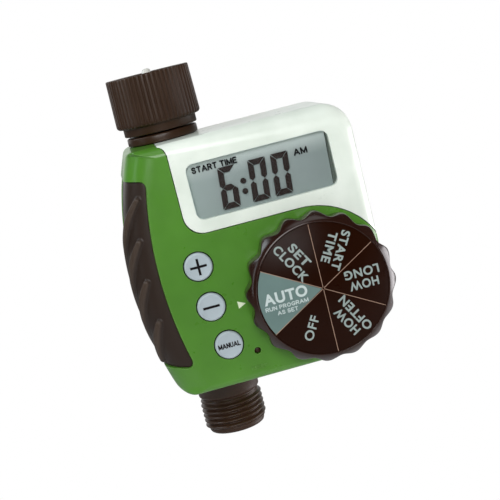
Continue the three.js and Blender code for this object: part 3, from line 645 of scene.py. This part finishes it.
def case_side(z, s, lift):
    """A point s round the casing's left side from the parting line towards the front, moved out by lift."""
    left, r = left_side(z), FRONT_EDGE["left"]
    flat = PARTING - (FRONT + r)
    bend = r * math.pi / 2
    if s <= flat:
        return (left - lift, PARTING - s, z)
    if s <= flat + bend:
        angle = (s - flat) / r
        return (left + r - (r + lift) * math.cos(angle), FRONT + r - (r + lift) * math.sin(angle), z)
    return (left + r + s - flat - bend, FRONT - lift, z)


def side_lift(x, y, z):
    """How far a point stands out of the casing's left side: case_side turned round."""
    left, r = left_side(z), FRONT_EDGE["left"]
    if y > FRONT + r:
        return left - x
    if x > left + r:
        return FRONT - y
    return math.hypot(x - left - r, y - FRONT - r) - r


def ridge_line(along):
    """How far a ridge's crest has dropped at a distance from its tip, and how steeply it drops there."""
    straight, last, ease = 10.0, 0.6, 6.0
    if along <= straight:
        return RIDGE_FALL * along, RIDGE_FALL
    fade = math.exp(-(along - straight) / ease)
    drop = RIDGE_FALL * straight + last * (along - straight) + (RIDGE_FALL - last) * ease * (1 - fade)
    return drop, last + (RIDGE_FALL - last) * fade


def ridge_height(s, z):
    """Four slanting fingers with round tips. Each one climbs slowly and drops sharply at its lower edge."""
    height = 0.0
    for tip in RIDGES:
        away = RIDGE_TIP - s
        drop, slope = ridge_line(away)
        below = (tip - drop - z) / math.hypot(1, slope) + RIDGE_R
        along = (away + RIDGE_FALL * (tip - z)) / math.hypot(1, RIDGE_FALL)
        before = max(RIDGE_R - along, 0.0)
        spread, ramp = (1.0, 0.9) if below > 0 else (lerp(1.0, 2.4, smooth(along / 14)), 1.0)
        height = max(height, smooth((RIDGE_R - math.hypot(before, below / spread)) / ramp))
    return height


def distance_to(outline, x, z):
    """How far inside an outline a point is, in millimetres; negative outside."""
    inside, best = False, 1e9
    for (ax, az), (bx, bz) in zip(outline, outline[1:] + outline[:1]):
        dx, dz = bx - ax, bz - az
        t = min(max(((x - ax) * dx + (z - az) * dz) / (dx * dx + dz * dz), 0.0), 1.0)
        best = min(best, math.hypot(x - ax - t * dx, z - az - t * dz))
        if (az > z) != (bz > z) and x < ax + (z - az) / (bz - az) * dx:
            inside = not inside
    return best if inside else -best


def make_grip():
    """A thick pad over the casing's left side, cut to its outline."""
    across, down = 120, 190
    outline = grip_outline(0)
    points, faces = [], []
    for lift in (0, 1):
        for i in range(down + 1):
            z = lerp(GRIP_REACH["top"], GRIP_REACH["bottom"], i / down)
            for j in range(across + 1):
                s = lerp(0, GRIP_REACH["round"], j / across)
                height = GRIP_BACK
                if lift:
                    x, y, _ = case_side(z, s, 0)
                    edge = min(distance_to(outline, x, z), PARTING - GAP / 2 - y + 0.3)
                    pillow = 1 - math.exp(-max(edge, 0) / 0.7)
                    ridge = RIDGE_HEIGHT * ridge_height(s, z) * smooth(edge / 1.8)
                    height = lerp(GRIP_EDGE, -GRIP_SUNK, pillow) + ridge
                points.append(case_side(z, s, height))
    width, layer = across + 1, (across + 1) * (down + 1)
    for i in range(down):
        for j in range(across):
            a = i * width + j
            quad = (a, a + 1, a + width + 1, a + width)
            faces += [quad, tuple(reversed([k + layer for k in quad]))]
    rim = list(range(across)) + [across + i * width for i in range(down)]
    rim += [down * width + j for j in range(across, 0, -1)] + [i * width for i in range(down, 0, -1)]
    faces += [(a, b, b + layer, a + layer) for a, b in zip(rim, rim[1:] + rim[:1])]
    pad = make("grip_pad", points, faces)
    meet(pad, grip_region(0), slab(-80, PARTING - GAP / 2))
    clean(pad, 0.03)
    # This height drives the rubber's painted light and shade.
    lift = pad.data.attributes.new("lift", "FLOAT", "POINT")
    for vertex, value in zip(pad.data.vertices, lift.data):
        value.value = side_lift(*(vertex.co / MM))
    finish(pad, "grip_rubber", replaces=["side_grip"])


# ---- water path ----

def thread_wave(phase):
    """A rounded V from 0 to 1 and back over one pitch."""
    return smooth(1 - abs(2 * (phase % 1.0) - 1))


def make_nut():
    """Ribs outside, a helical thread inside."""
    ribs, samples, root, thread_depth = 54, 8, 13.6, 1.05
    count = ribs * samples
    grooves = [smooth((-math.cos(TURN * k / samples) - 0.15) / 0.7) for k in range(count)]

    def outside(r, z, depth):
        return around(z, [r - depth * groove for groove in grooves])

    def inside(z, fade):
        waves = [thread_wave(z / HOSE_PITCH - k / count) for k in range(count)]
        return around(z, [root - thread_depth * fade * wave for wave in waves])

    rings = [outside(16.9, 10.0, 0.15), outside(17.25, 9.95, 0.45), outside(17.5, 9.7, 0.75)]
    rings += [outside(lerp(17.55, 17.85, t), lerp(9.2, -8.6, t), 0.85) for t in (0, 0.25, 0.5, 0.75, 1)]
    rings += [outside(17.85, -9.4, 0.8), outside(17.7, -10.0, 0.6)]
    rings += [outside(17.3, -10.5, 0.3), outside(16.8, -10.75, 0.1)]
    rings += [outside(r, z, 0) for r, z in (
        (16.2, -10.8), (15.7, -10.85), (15.5, -11.05), (15.44, -11.4), (15.44, -13.8), (15.3, -14.2),
        (15.0, -14.3), (11.3, -14.3), (11.0, -14.0), (11.0, -6.4), (11.2, -6.2), (13.4, -6.2),
    )]
    steps = 60
    for k in range(steps + 1):
        z = lerp(-6.0, 9.4, k / steps)
        rings.append(inside(z, smooth((z + 6.0) / 1.5) * smooth((9.4 - z) / 1.2)))
    rings.append(outside(14.2, 10.0, 0))
    nut = loft("hose_nut", rings, closed=True)
    finish(nut, "dark_nylon", "nut", replaces=["swivel_nut"])


def make_neck():
    """The valve's round flange, its neck and, inside the casing, the chamber."""
    neck = lathe("valve_neck", [
        (6, -3.3), (10.2, -3.3), (10.6, -3.7), (10.6, -4.1), (9.4, -4.1), (9.4, -6.2), (10.6, -6.2),
        (10.6, -14.9), (14.3, -15.0), (14.75, -15.2), (14.9, -15.5), (14.9, -17.9), (14.8, -18.2),
        (14.5, -18.3), (13, -18.3), (13, -28), (6, -28),
    ], sides=128)
    finish(neck, "dark_nylon", replaces=["valve_body"])
    chamber = lathe("valve_chamber", [
        (0, -10), (16, -10), (16.5, -9.5), (16.5, 14), (12.2, 14), (12.2, 5), (7, 5), (7, 11), (3.6, 11),
        (3.6, 0), (0, 0),
    ], "x", (0, 0, VALVE_Z), 96)
    cut(chamber, rod("bore", 5, -35, -20, "z"), rod("bore", 3.6, -60, VALVE_Z, "z"))
    trim(chamber, "valve_chamber", 0.2)
    finish(chamber, "dark_nylon", replaces=["valve_body"])
    stub = lathe("valve_outlet", [
        (3.6, -57), (9, -57), (9, -67.9), (7.45, -67.9), (7.45, -70.1), (9, -70.1), (9, -73.6), (8.6, -74),
        (3.6, -74),
    ], sides=64)
    finish(stub, "dark_nylon", replaces=["valve_body"])


def make_spout():
    """A male hose thread below a plain shoulder, with its bore."""
    crest, root, end, bore, count = 13.49, 12.1, -146.5, 9.0, 128
    top, bottom = -131.6, -144.9

    def threaded(z):
        fade = smooth((top - z) / 1.6) * smooth((z - bottom) / 1.0)
        waves = [thread_wave(z / HOSE_PITCH - k / count) ** 0.8 for k in range(count)]
        return around(z, [root + (crest - root) * fade * wave for wave in waves])

    rings = [around(z, [r] * count) for r, z in (
        (9.3, -62.8), (11.2, -62.8), (11.2, -114.9), (15.2, -114.9), (15.2, -117.1), (13.3, -117.1),
        (13.3, -129.8), (13.2, -130.3), (12.9, -130.7), (12.2, -131.2),
    )]
    steps = 78
    rings += [threaded(lerp(top, bottom, k / steps)) for k in range(steps + 1)]
    rings += [around(z, [r] * count) for r, z in (
        (12.15, end + 1.3), (12.1, end + 0.8), (11.8, end + 0.2), (11.5, end), (9.5, end), (9.15, end + 0.15),
        (bore, end + 0.5), (bore, -76), (9.3, -75),
    )]
    spout = loft("spout", rings, closed=True)
    finish(spout, "dark_nylon", replaces=["outlet_spout"])


def make_inlet():
    washer = lathe("tap_washer", [
        (6.7, -1.7), (7.0, -2), (12.0, -2), (12.3, -1.7), (12.3, -0.3), (12.0, 0), (7.0, 0), (6.7, -0.3),
    ])
    finish(washer, "black_rubber", replaces=["inlet_washer"])
    filter_cone = lathe("filter", [
        (0, 11.6), (0.9, 11.5), (1.5, 11.15), (1.8, 10.4), (3.9, 5.7), (6.2, 0.4), (6.3, 0), (6.3, -2.35),
        (10.3, -2.35), (10.5, -2.5), (10.5, -2.9), (10.3, -3), (5.4, -3), (5.4, -0.4), (0.9, 10.3), (0, 10.3),
    ], sides=72)
    for k in range(8):
        angle = TURN * k / 8
        for r, z in ((2.7, 7.6), (3.8, 5.3), (4.9, 2.9)):
            slot = block("slot", r - 1.6, r + 1.6, -0.45, 0.45, z - 0.7, z + 0.7)
            slot.data.transform(Matrix.Rotation(angle, 4, "Z"))
            cut(filter_cone, slot)
    trim(filter_cone, "filter", 0.08, 2)
    finish(filter_cone, "white_plastic", replaces=["filter_screen"])


# ---- display ----

SEGMENTS = {"6": "acdefg", "0": "abcdef"}
DIGIT_W, DIGIT_H, STROKE, SLANT = 7.2, 16.9, 2.35, math.tan(math.radians(5.0))
DIGIT_FOOT = -50.0
LCD_GROUND, LCD_FACE, LCD_BACK = -31.2, -31.9, -28.4
LCD_BOTTOM, LCD_TOP = -52.3, -27.7
LAYERS = 23  # overlapping strokes of a letter are never this many places apart


def segment_shapes():
    """The seven strokes of a digit as outlines, with mitred ends and thin gaps."""
    w, h, s, g = DIGIT_W, DIGIT_H, STROKE, 0.12
    m, half = h / 2, STROKE / 2
    upright = [(0, g + 0.1), (s, s + g), (s, m - half - g), (half, m - g), (0, m - half * 0.9 - g)]
    right = [(w - x, z) for x, z in upright]
    return {
        "a": [(g + 0.1, h), (w - g - 0.1, h), (w - s - g, h - s), (s + g, h - s)],
        "d": [(g + 0.1, 0), (w - g - 0.1, 0), (w - s - g, s), (s + g, s)],
        "g": [(half + g, m), (s + g, m + half), (w - s - g, m + half), (w - half - g, m),
              (w - s - g, m - half), (s + g, m - half)],
        "e": upright,
        "c": right,
        "f": [(x, h - z) for x, z in upright],
        "b": [(x, h - z) for x, z in right],
    }


def display_mesh(name, outlines, y0, y1, layer=0.0):
    """Flat printed shapes, joined in one piece. Where they overlap, layer keeps their faces apart."""
    points, faces = [], []
    for k, outline in enumerate(outlines):
        n, base = len(outline), len(points)
        points += [(x, y, z) for y in (y0, y1 - k % LAYERS * layer) for x, z in outline]
        faces += [tuple(range(base, base + n)), tuple(range(base + n, base + 2 * n))]
        faces += [(base + i, base + (i + 1) % n, base + n + (i + 1) % n, base + n + i) for i in range(n)]
    return make(name, points, faces, shade_smooth=False)


def on_line(u, v, at, angle):
    """A point u across and v up from the middle of a line of lettering that is turned by angle degrees."""
    turn = math.radians(angle)
    return (
        at[0] + u * math.cos(turn) - v * math.sin(turn), at[1] + u * math.sin(turn) + v * math.cos(turn),
    )


def letters(name, text, cap, width, at, look, slot, body="case", angle=0.0, y=0.0, depth=0.06, weight=0.02,
            spacing=1.0):
    """A line of lettering, centred, cap millimetres tall and width long, its face looking along -Y."""
    data = bpy.data.curves.new(name, "FONT")
    data.body = text
    data.align_x, data.align_y = "CENTER", "CENTER"
    data.offset = weight
    data.space_character = spacing
    data.extrude = 0.5
    source = new_object(name, data)
    mesh = evaluated(source)
    bpy.data.objects.remove(source)
    xs = [v.co.x for v in mesh.vertices]
    ys = [v.co.y for v in mesh.vertices]
    middle = Vector(((min(xs) + max(xs)) / 2, (min(ys) + max(ys)) / 2, 0))
    across, up = width / (max(xs) - min(xs)), cap / (max(ys) - min(ys))
    for vertex in mesh.vertices:
        x, z = on_line((vertex.co.x - middle.x) * across, (vertex.co.y - middle.y) * up, at, angle)
        vertex.co = Vector((x, y - (depth if vertex.co.z > 0 else 0), z)) * MM
    obj = new_object(name, mesh)
    clean(obj, 0.002)
    finish(obj, slot, body, look)


def bowl(low):
    """The stem and the round upper part of P and R."""
    top = [(0, 0), (0, 1), (0.65, 1), (0.93, 0.9)]
    return top + [(1, (1 + low) / 2), (0.93, low + 0.1), (0.65, low), (0, low)]


LEFT_HALF = [(0.5, 1), (0.15, 0.87), (0, 0.5), (0.15, 0.13), (0.5, 0)]  # of O and G
# Each letter's width in letter heights, and its strokes on a grid one wide and one tall.
GLYPHS = {
    "A": (0.9, [[(0, 0), (0.5, 1), (1, 0)], [(0.18, 0.32), (0.82, 0.32)]]),
    "E": (0.65, [[(1, 0), (0, 0), (0, 1), (1, 1)], [(0, 0.52), (0.85, 0.52)]]),
    "G": (0.85, [[(0.97, 0.8), (0.78, 0.96), *LEFT_HALF, (0.85, 0.1), (1, 0.25), (1, 0.45), (0.6, 0.45)]]),
    "I": (0.0, [[(0, 0), (0, 1)]]),
    "L": (0.6, [[(0, 1), (0, 0), (1, 0)]]),
    "M": (0.95, [[(0, 0), (0, 1), (0.5, 0.08), (1, 1), (1, 0)]]),
    "N": (0.75, [[(0, 0), (0, 1), (1, 0), (1, 1)]]),
    "O": (0.9, [[*LEFT_HALF, (0.85, 0.13), (1, 0.5), (0.85, 0.87), (0.5, 1)]]),
    "P": (0.65, [bowl(0.46)]),
    "R": (0.7, [bowl(0.48), [(0.55, 0.48), (1, 0)]]),
    "S": (0.7, [[(0.95, 0.8), (0.75, 0.96), (0.5, 1), (0.2, 0.95), (0.03, 0.76), (0.15, 0.58), (0.5, 0.5),
                 (0.85, 0.42), (1, 0.23), (0.8, 0.05), (0.5, 0), (0.2, 0.04), (0, 0.22)]]),
    "T": (0.75, [[(0, 1), (1, 1)], [(0.5, 1), (0.5, 0)]]),
    "U": (0.75, [[(0, 1), (0, 0.3), (0.15, 0.08), (0.5, 0), (0.85, 0.08), (1, 0.3), (1, 1)]]),
}
LETTER_GAP, WORD_GAP, LETTER_LAYER = 0.36, 0.5, 0.001


def small_letters(name, text, cap, width, stroke, at, look, slot, body="case", angle=0.0, y=0.0, depth=0.06):
    """A line of small lettering, placed like letters() and drawn in round-ended strokes of one weight."""
    placed, start = [], 0.0
    for character in text:
        if character == " ":
            start += WORD_GAP
            continue
        wide, lines = GLYPHS[character]
        placed += [[(start + wide * gx, gz) for gx, gz in line] for line in lines]
        start += wide + LETTER_GAP
    across, half = (width - stroke) / (start - LETTER_GAP), stroke / 2
    outlines = []
    for line in placed:
        points = [
            on_line(gx * across - width / 2 + half, (gz - 0.5) * (cap - stroke), at, angle) for gx, gz in line
        ]
        for (x0, z0), (x1, z1) in zip(points, points[1:]):
            length = math.hypot(x1 - x0, z1 - z0)
            dx, dz = half * (z0 - z1) / length, half * (x1 - x0) / length
            outlines.append(arc(x0, z0, half, 0, 315, 7))
            outlines.append([(x0 + dx, z0 + dz), (x0 - dx, z0 - dz), (x1 - dx, z1 - dz), (x1 + dx, z1 + dz)])
        outlines.append(arc(*points[-1], half, 0, 315, 7))
    marks = display_mesh(name, outlines, y, y - depth, LETTER_LAYER)
    finish(marks, slot, body, look)


def make_display():
    cell = [(2.2, LCD_BOTTOM), (60.4, LCD_BOTTOM), (61.5, LCD_TOP), (2.2, LCD_TOP)]
    glass = prism("display_cell", cell, LCD_GROUND, LCD_BACK)
    soften(glass, 0.15, 2)
    finish(glass, "display", replaces=["lcd_glass"])
    shapes = segment_shapes()
    outlines = []
    for x, digit in ((14.7, "6"), (27.1, "0"), (36.5, "0")):
        for part in SEGMENTS[digit]:
            outlines.append([(x + px + SLANT * pz, DIGIT_FOOT + pz) for px, pz in shapes[part]])
    for x, z in ((25.2, -40.5), (25.0, -44.7)):
        outlines.append(arc(x, z, 1.2, 0, 345, 23))
    digits = display_mesh("digits", outlines, LCD_FACE + 0.1, LCD_FACE)
    finish(digits, "display", look="segment")
    small_letters("display_caption", "START TIME", 2.65, 18.7, 0.56, (15.4, -31.6), "ink_black", "display",
                  y=LCD_FACE + 0.1, depth=0.1)
    small_letters("display_am", "AM", 2.8, 5.7, 0.6, (50.3, -34.7), "ink_black", "display", y=LCD_FACE + 0.1,
                  depth=0.1)
    strip = [(60.6, LCD_BOTTOM), (63.6, LCD_BOTTOM), (63.6, LCD_TOP), (61.7, LCD_TOP)]
    seal = prism("display_seal", strip, LCD_GROUND, LCD_BACK)
    soften(seal, 0.15, 2)
    finish(seal, "display", look="display_seal")
    pane = prism("window_pane", window_outline(-GAP), FRONT + WINDOW_SUNK, FRONT + WINDOW_SUNK + 0.9)
    soften(pane, 0.2, 2)
    finish(pane, "clear_window", replaces=["lcd_window"])


# ---- buttons ----

BUTTON_FACE = -35.35


def make_button(name):
    x, z = BUTTONS[name]
    crown = [(0, 0.1), (4.4, 0.1), (4.7, 0.02), (4.95, -0.05), (5.2, 0), (5.45, 0.2), (5.65, 0.55)]
    cap = lathe(f"{name}_cap", [(r, BUTTON_FACE + sunk) for r, sunk in crown] + [
        (BUTTON_R, BUTTON_FACE + 1.1),
        (BUTTON_R, -31.1), (7.3, -31.1), (7.3, -30.2), (2.5, -30.2), (2.5, -29.9), (0, -29.9),
    ], "y", (x, 0, z), 96)
    finish(cap, "button_rubber", name, replaces=[f"{name}_button"])
    # The cap's sides inside its hole are painted black: painted shade for the dark gap round the button, not
    # the cap's own colour.
    cap.data.materials.append(material["ink_black"])
    for polygon in cap.data.polygons:
        if polygon.center.y > (FRONT + 0.3) * MM:
            polygon.material_index = 1
    top = BUTTON_FACE + 0.1
    if name == "manual":
        small_letters("manual_mark", "MANUAL", 2.2, 9.2, 0.42, (x, z), "ink_black", "button_rubber", name,
                      y=top, depth=0.1)
        return
    half, stroke = 3.4, 0.5
    if name == "plus":
        arm = [(half, -stroke), (half, stroke), (stroke, stroke)]
        outline = [on_line(u, v, (x, z), 90 * quarter) for quarter in range(4) for u, v in arm]
    else:
        outline = [(x + u, z + v) for u, v in (
            (-half, -stroke), (half, -stroke), (half, stroke), (-half, stroke))]
    mark = display_mesh(f"{name}_mark", [outline], top, top - 0.05)
    finish(mark, "button_rubber", name, "ink_black")


def make_panel_marks():
    pin = lathe("reset_pin", [
        (0, -33.1), (0.8, -33.1), (1.05, -32.9), (1.1, -32.6), (1.1, -31), (1.9, -31), (1.9, -30.2),
        (1.1, -30.2), (1.1, -27.4), (0, -27.4),
    ], "y", (RESET_X, 0, RESET_Z), 32)
    finish(pin, "dark_nylon", "reset", replaces=["reset_button"])
    triangle = [(10.7, -89.9), (13.9, -88.4), (10.7, -86.9)]
    pointer = display_mesh("pointer", [triangle], FRONT + 0.1, FRONT - 0.15)
    finish(pointer, "green_casing", look="ink_pointer")
    letters("reset_word", "RESET", 1.4, 6.6, (13.0, -115.4), "green_casing", "green_casing", y=FRONT + 0.05,
            depth=0.2, weight=0.01)


# ---- dial ----

def make_knob():
    """A fluted cap with one round chamfer over all its lobes, hollow behind."""
    samples = 28
    count = DIAL_LOBES * samples

    def ring(y, chamfer, shrink=0.0):
        out = []
        for k in range(count):
            angle = DIAL_CREST + TURN * k / count
            flute = DIAL_R + DIAL_SCALLOP * math.cos(TURN * k / samples) - shrink
            blend = 0.35
            near = max(blend - abs(flute - chamfer), 0.0) / blend
            r = min(flute, chamfer) - near * near * blend / 4
            out.append((DIAL_X + r * math.cos(angle), y, DIAL_Z + r * math.sin(angle)))
        return out

    def circle(y, r):
        return ring(y, r, -50.0)

    rings = [circle(DIAL_FACE + sunk, LABEL_R + gap) for sunk, gap in ((0.35, 0.1), (0.1, 0.15), (0, 0.3))]
    steps = 22
    for k in range(1, steps + 1):
        t = k / steps
        rings.append(ring(DIAL_FACE + 4.6 * t ** 1.25, LABEL_R + 0.3 + 4.1 * t ** 0.85))
    rings += [ring(y, 99, shrink) for y, shrink in (
        (-40, 0.0), (-38, 0.03), (-36.2, 0.12), (-35.3, 0.35), (DIAL_REAR, 0.8))]
    rings += [circle(y, r) for y, r in ((DIAL_REAR, 25.7), (DIAL_REAR - 0.3, 25.5), (-43, 25.5))]
    knob = loft("dial", rings)
    finish(knob, "dial_rim", "dial", replaces=["dial_knob"])


LABEL_FACE, LABEL_BACK = DIAL_FACE + 0.08, DIAL_FACE + 0.4
AUTO_FACE = LABEL_FACE - 0.03
SECTOR_LABELS = [
    (120, ("SET", 10.6), ("CLOCK", 18.0)),
    (60, ("START", 16.2), ("TIME", 12.4)),
    (0, ("HOW", 12.0), ("LONG", 14.2)),
    (-60, ("HOW", 12.8), ("OFTEN", 17.2)),
]


def on_dial(radius, angle):
    return (DIAL_X + radius * math.cos(angle), DIAL_Z + radius * math.sin(angle))


def make_dial_label():
    disc = lathe("dial_disc", [
        (0, LABEL_BACK), (LABEL_R, LABEL_BACK), (LABEL_R, LABEL_FACE + 0.1), (LABEL_R - 0.1, LABEL_FACE),
        (0, LABEL_FACE),
    ], "y", (DIAL_X, 0, DIAL_Z), 160)
    finish(disc, "dial_print", "dial", replaces=["dial_label"])
    half = 0.11
    outlines = []
    for degrees in range(30, 390, 60):
        angle = math.radians(degrees)
        inner, outer = on_dial(0.4, angle), on_dial(LABEL_R - 0.15, angle)
        dx, dz = -half * math.sin(angle), half * math.cos(angle)
        outlines.append([
            (inner[0] + dx, inner[1] + dz), (inner[0] - dx, inner[1] - dz),
            (outer[0] - dx, outer[1] - dz), (outer[0] + dx, outer[1] + dz),
        ])
    lines = display_mesh("dial_lines", outlines, LABEL_FACE, LABEL_FACE - 0.04)
    finish(lines, "dial_print", "dial", "ink_line")
    sector = [on_dial(0.6, math.pi)] + arc(DIAL_X, DIAL_Z, LABEL_R - 0.4, 150, 210, 40)
    finish(display_mesh("dial_auto", [sector], LABEL_FACE, AUTO_FACE), "dial_print", "dial", "ink_auto")

    def word(name, text, cap, width, radius, aside, degrees, look="ink_dial", weight=0.03, face=LABEL_FACE):
        """Lettering that reads from the rim inwards, radius out and aside from its sector's middle."""
        angle = math.radians(degrees)
        x, z = on_dial(radius, angle)
        at = (x + aside * math.sin(angle), z - aside * math.cos(angle))
        letters(name, text, cap, width, at, look, "dial_print", "dial", degrees - 180, face, 0.04, weight,
                spacing=1.12)

    for degrees, (first, first_width), (second, second_width) in SECTOR_LABELS:
        tag = f"dial_word_{degrees % 360}"
        word(f"{tag}_1", first, 3.7, first_width, 16.4, 2.4, degrees)
        word(f"{tag}_2", second, 3.7, second_width, 16.4, -2.4, degrees)
    word("dial_word_off", "OFF", 3.8, 10.2, 16.6, 0.0, 240, weight=0.02)
    word("dial_word_auto", "AUTO", 4.6, 17.8, 15.3, 1.3, 180, "ink_light", 0.035, AUTO_FACE)
    notes = (("RUN PROGRAM", 17.6, 15.6, 2.6), ("AS SET", 8.4, 15.8, 4.9))
    for k, (text, width, out, down) in enumerate(notes, 1):
        small_letters(f"dial_note_{k}", text, 1.7, width, 0.32, (DIAL_X - out, DIAL_Z - down), "ink_light",
                      "dial_print", "dial", y=AUTO_FACE, depth=0.02)


# ---- back ----

def make_case_screws():
    for k, (x, z) in enumerate(POSTS, 1):
        screw = lathe(f"case_screw_head_{k}", [
            (0, -5.7), (0.5, -5.7), (1.35, -4.5), (1.35, 12.3), (2.8, 12.3), (2.8, 13.1), (2.5, 13.8),
            (1.9, 14.2), (0, 14.3),
        ], "y", (x, 0, z), 40)
        turn = math.radians(17 + 31 * k)  # each one was tightened to a different angle
        for quarter in (0, math.pi / 2):
            blade = block("blade", -1.7, 1.7, 13.2, 15, -0.28, 0.28)
            blade.data.transform(Matrix.Rotation(turn + quarter, 4, "Y"))
            blade.data.transform(Matrix.Translation(Vector((x, 0, z)) * MM))
            cut(screw, blade)
        trim(screw, f"case_screw_head_{k}", 0.08, 2)
        finish(screw, "steel", replaces=[f"case_screw_{k}"])


def make_hinge_pin():
    pin = lathe("hinge_pin", [
        (0, -105.2), (0.5, -105.2), (HINGE_PIN, -105.0), (HINGE_PIN, -67.0), (0.5, -66.8), (0, -66.8),
    ], "z", (HINGE_X, HINGE_Y, 0), 32)
    finish(pin, "steel", replaces=["door_hinge_pin"])


def make_cells():
    for k, (x, low, up) in enumerate(((29.5, -110.5, True), (45.0, -112.6, False)), 1):
        profile = [
            (0, 0.3), (5.2, 0.3), (5.6, 0), (6.6, 0), (CELL_R - 0.15, 0.15), (CELL_R, 0.5), (CELL_R, 48.4),
            (CELL_R - 0.2, 48.8), (6.4, 49.0), (5.6, 48.7), (2.95, 48.7), (2.75, 49.0), (2.75, 49.7),
            (2.45, CELL_LENGTH), (0, CELL_LENGTH),
        ]
        if not up:
            profile = [(r, CELL_LENGTH - h) for r, h in profile]
        cell = lathe(f"battery_{k}", [(r, low + h) for r, h in profile], "z", (x, CELL_Y, 0), 72)
        finish(cell, "cell_jacket", replaces=[f"cell_{k}"])


def dress_cad_nodes():
    """Procedural materials for the CAD nodes that stay."""
    for row in frame["record"]["subparts"]:
        obj = frame["nodes"][row["node"]]
        if obj.hide_render:
            continue
        obj.data.materials.clear()
        obj.data.materials.append(material[row["material_slot"]])


# ---- stage ----

CAMERA_PLACE = Vector((-0.021645, -0.51955, 0.015))
CAMERA_YAW, CAMERA_PITCH, CAMERA_ROLL = math.radians(5.0), math.radians(-9.6535), math.radians(14.179)
CAMERA_LENS = 88.85
LIT_POINT = (0.02, 0, -0.07)
COOL, WARM, WHITE = (0.84, 0.94, 1.0), (1.0, 0.97, 1.0), (1, 1, 1)
LIGHTS = [  # name, place, size, power, colour
    ("front", (-0.10, -0.61, 0.24), (0.46, 0.34), 3.25, WHITE),
    ("above", (0.10, -0.16, 0.40), (0.34, 0.22), 0.25, WHITE),
    ("right", (0.50, -0.02, -0.17), (0.45, 0.26), 2.0, WARM),
    ("left", (-0.42, 0.06, 0.36), (0.34, 0.24), 1.25, COOL),
    ("strip", (-0.50, -0.14, 0.06), (0.06, 0.34), 0.15, COOL),
]
AMBIENT, BACKDROP = 0.05, 0.9  # the studio's light from all round, and from behind the object
FLOOR_Z, HALF_FLOOR = -0.30, 6.0


def make_camera():
    camera = new_object("camera", bpy.data.cameras.new("camera"))
    camera.data.lens = CAMERA_LENS
    camera.data.sensor_width = 36.0
    camera.data.clip_start = 0.01
    forward = Vector((
        math.sin(CAMERA_YAW) * math.cos(CAMERA_PITCH), math.cos(CAMERA_YAW) * math.cos(CAMERA_PITCH),
        math.sin(CAMERA_PITCH),
    ))
    turn = forward.to_track_quat("-Z", "Y").to_matrix() @ Matrix.Rotation(-CAMERA_ROLL, 3, "Z")
    camera.matrix_world = Matrix.Translation(CAMERA_PLACE) @ turn.to_4x4()
    bpy.context.scene.camera = camera


def area_light(name, place, size, power, color):
    """A rectangular lamp that faces the object."""
    light = bpy.data.lights.new(name, "AREA")
    light.shape = "RECTANGLE"
    light.size, light.size_y = size
    light.energy = power
    light.color = color
    obj = new_object(name, light)
    obj.location = place
    obj.rotation_mode = "QUATERNION"
    obj.rotation_quaternion = (Vector(LIT_POINT) - Vector(place)).to_track_quat("-Z", "Y")


def make_stage():
    scene = bpy.context.scene
    scene.view_settings.view_transform = "Standard"
    scene.world = bpy.data.worlds.new("studio")
    studio = Nodes("studio", scene.world)
    split = studio.add("ShaderNodeSeparateXYZ")
    studio.link(studio.coordinates["Generated"], split.inputs[0])
    strength = studio.ramp(split.outputs["Y"], 0.4, 0.95, AMBIENT, BACKDROP)
    strength.node.interpolation_type = "SMOOTHSTEP"
    studio.surface({"Color": (1, 1, 1, 1), "Strength": strength})
    studio.seen_white("World Output")
    corners = ((-1, -1), (1, -1), (1, 1), (-1, 1))
    floor = make("floor", [(x * HALF_FLOOR / MM, y * HALF_FLOOR / MM, FLOOR_Z / MM) for x, y in corners],
                 [(0, 1, 2, 3)])
    paper = Nodes("floor_paper")
    base = paper.mix(paper.noise(40.0), (0.80, 0.80, 0.80, 1), (0.84, 0.84, 0.84, 1))
    paper.surface({"Base Color": base, "Roughness": 0.9})
    paper.seen_white("Material Output")
    floor.data.materials.append(paper.material)
    for light in LIGHTS:
        area_light(*light)


make_camera()
make_stage()
make_front_shell()
make_bezel()
make_rear_shell()
make_door()
make_grip()
make_nut()
make_neck()
make_spout()
make_inlet()
make_display()
for button in BUTTONS:
    make_button(button)
make_panel_marks()
make_knob()
make_dial_label()
make_case_screws()
make_hinge_pin()
make_cells()
dress_cad_nodes()
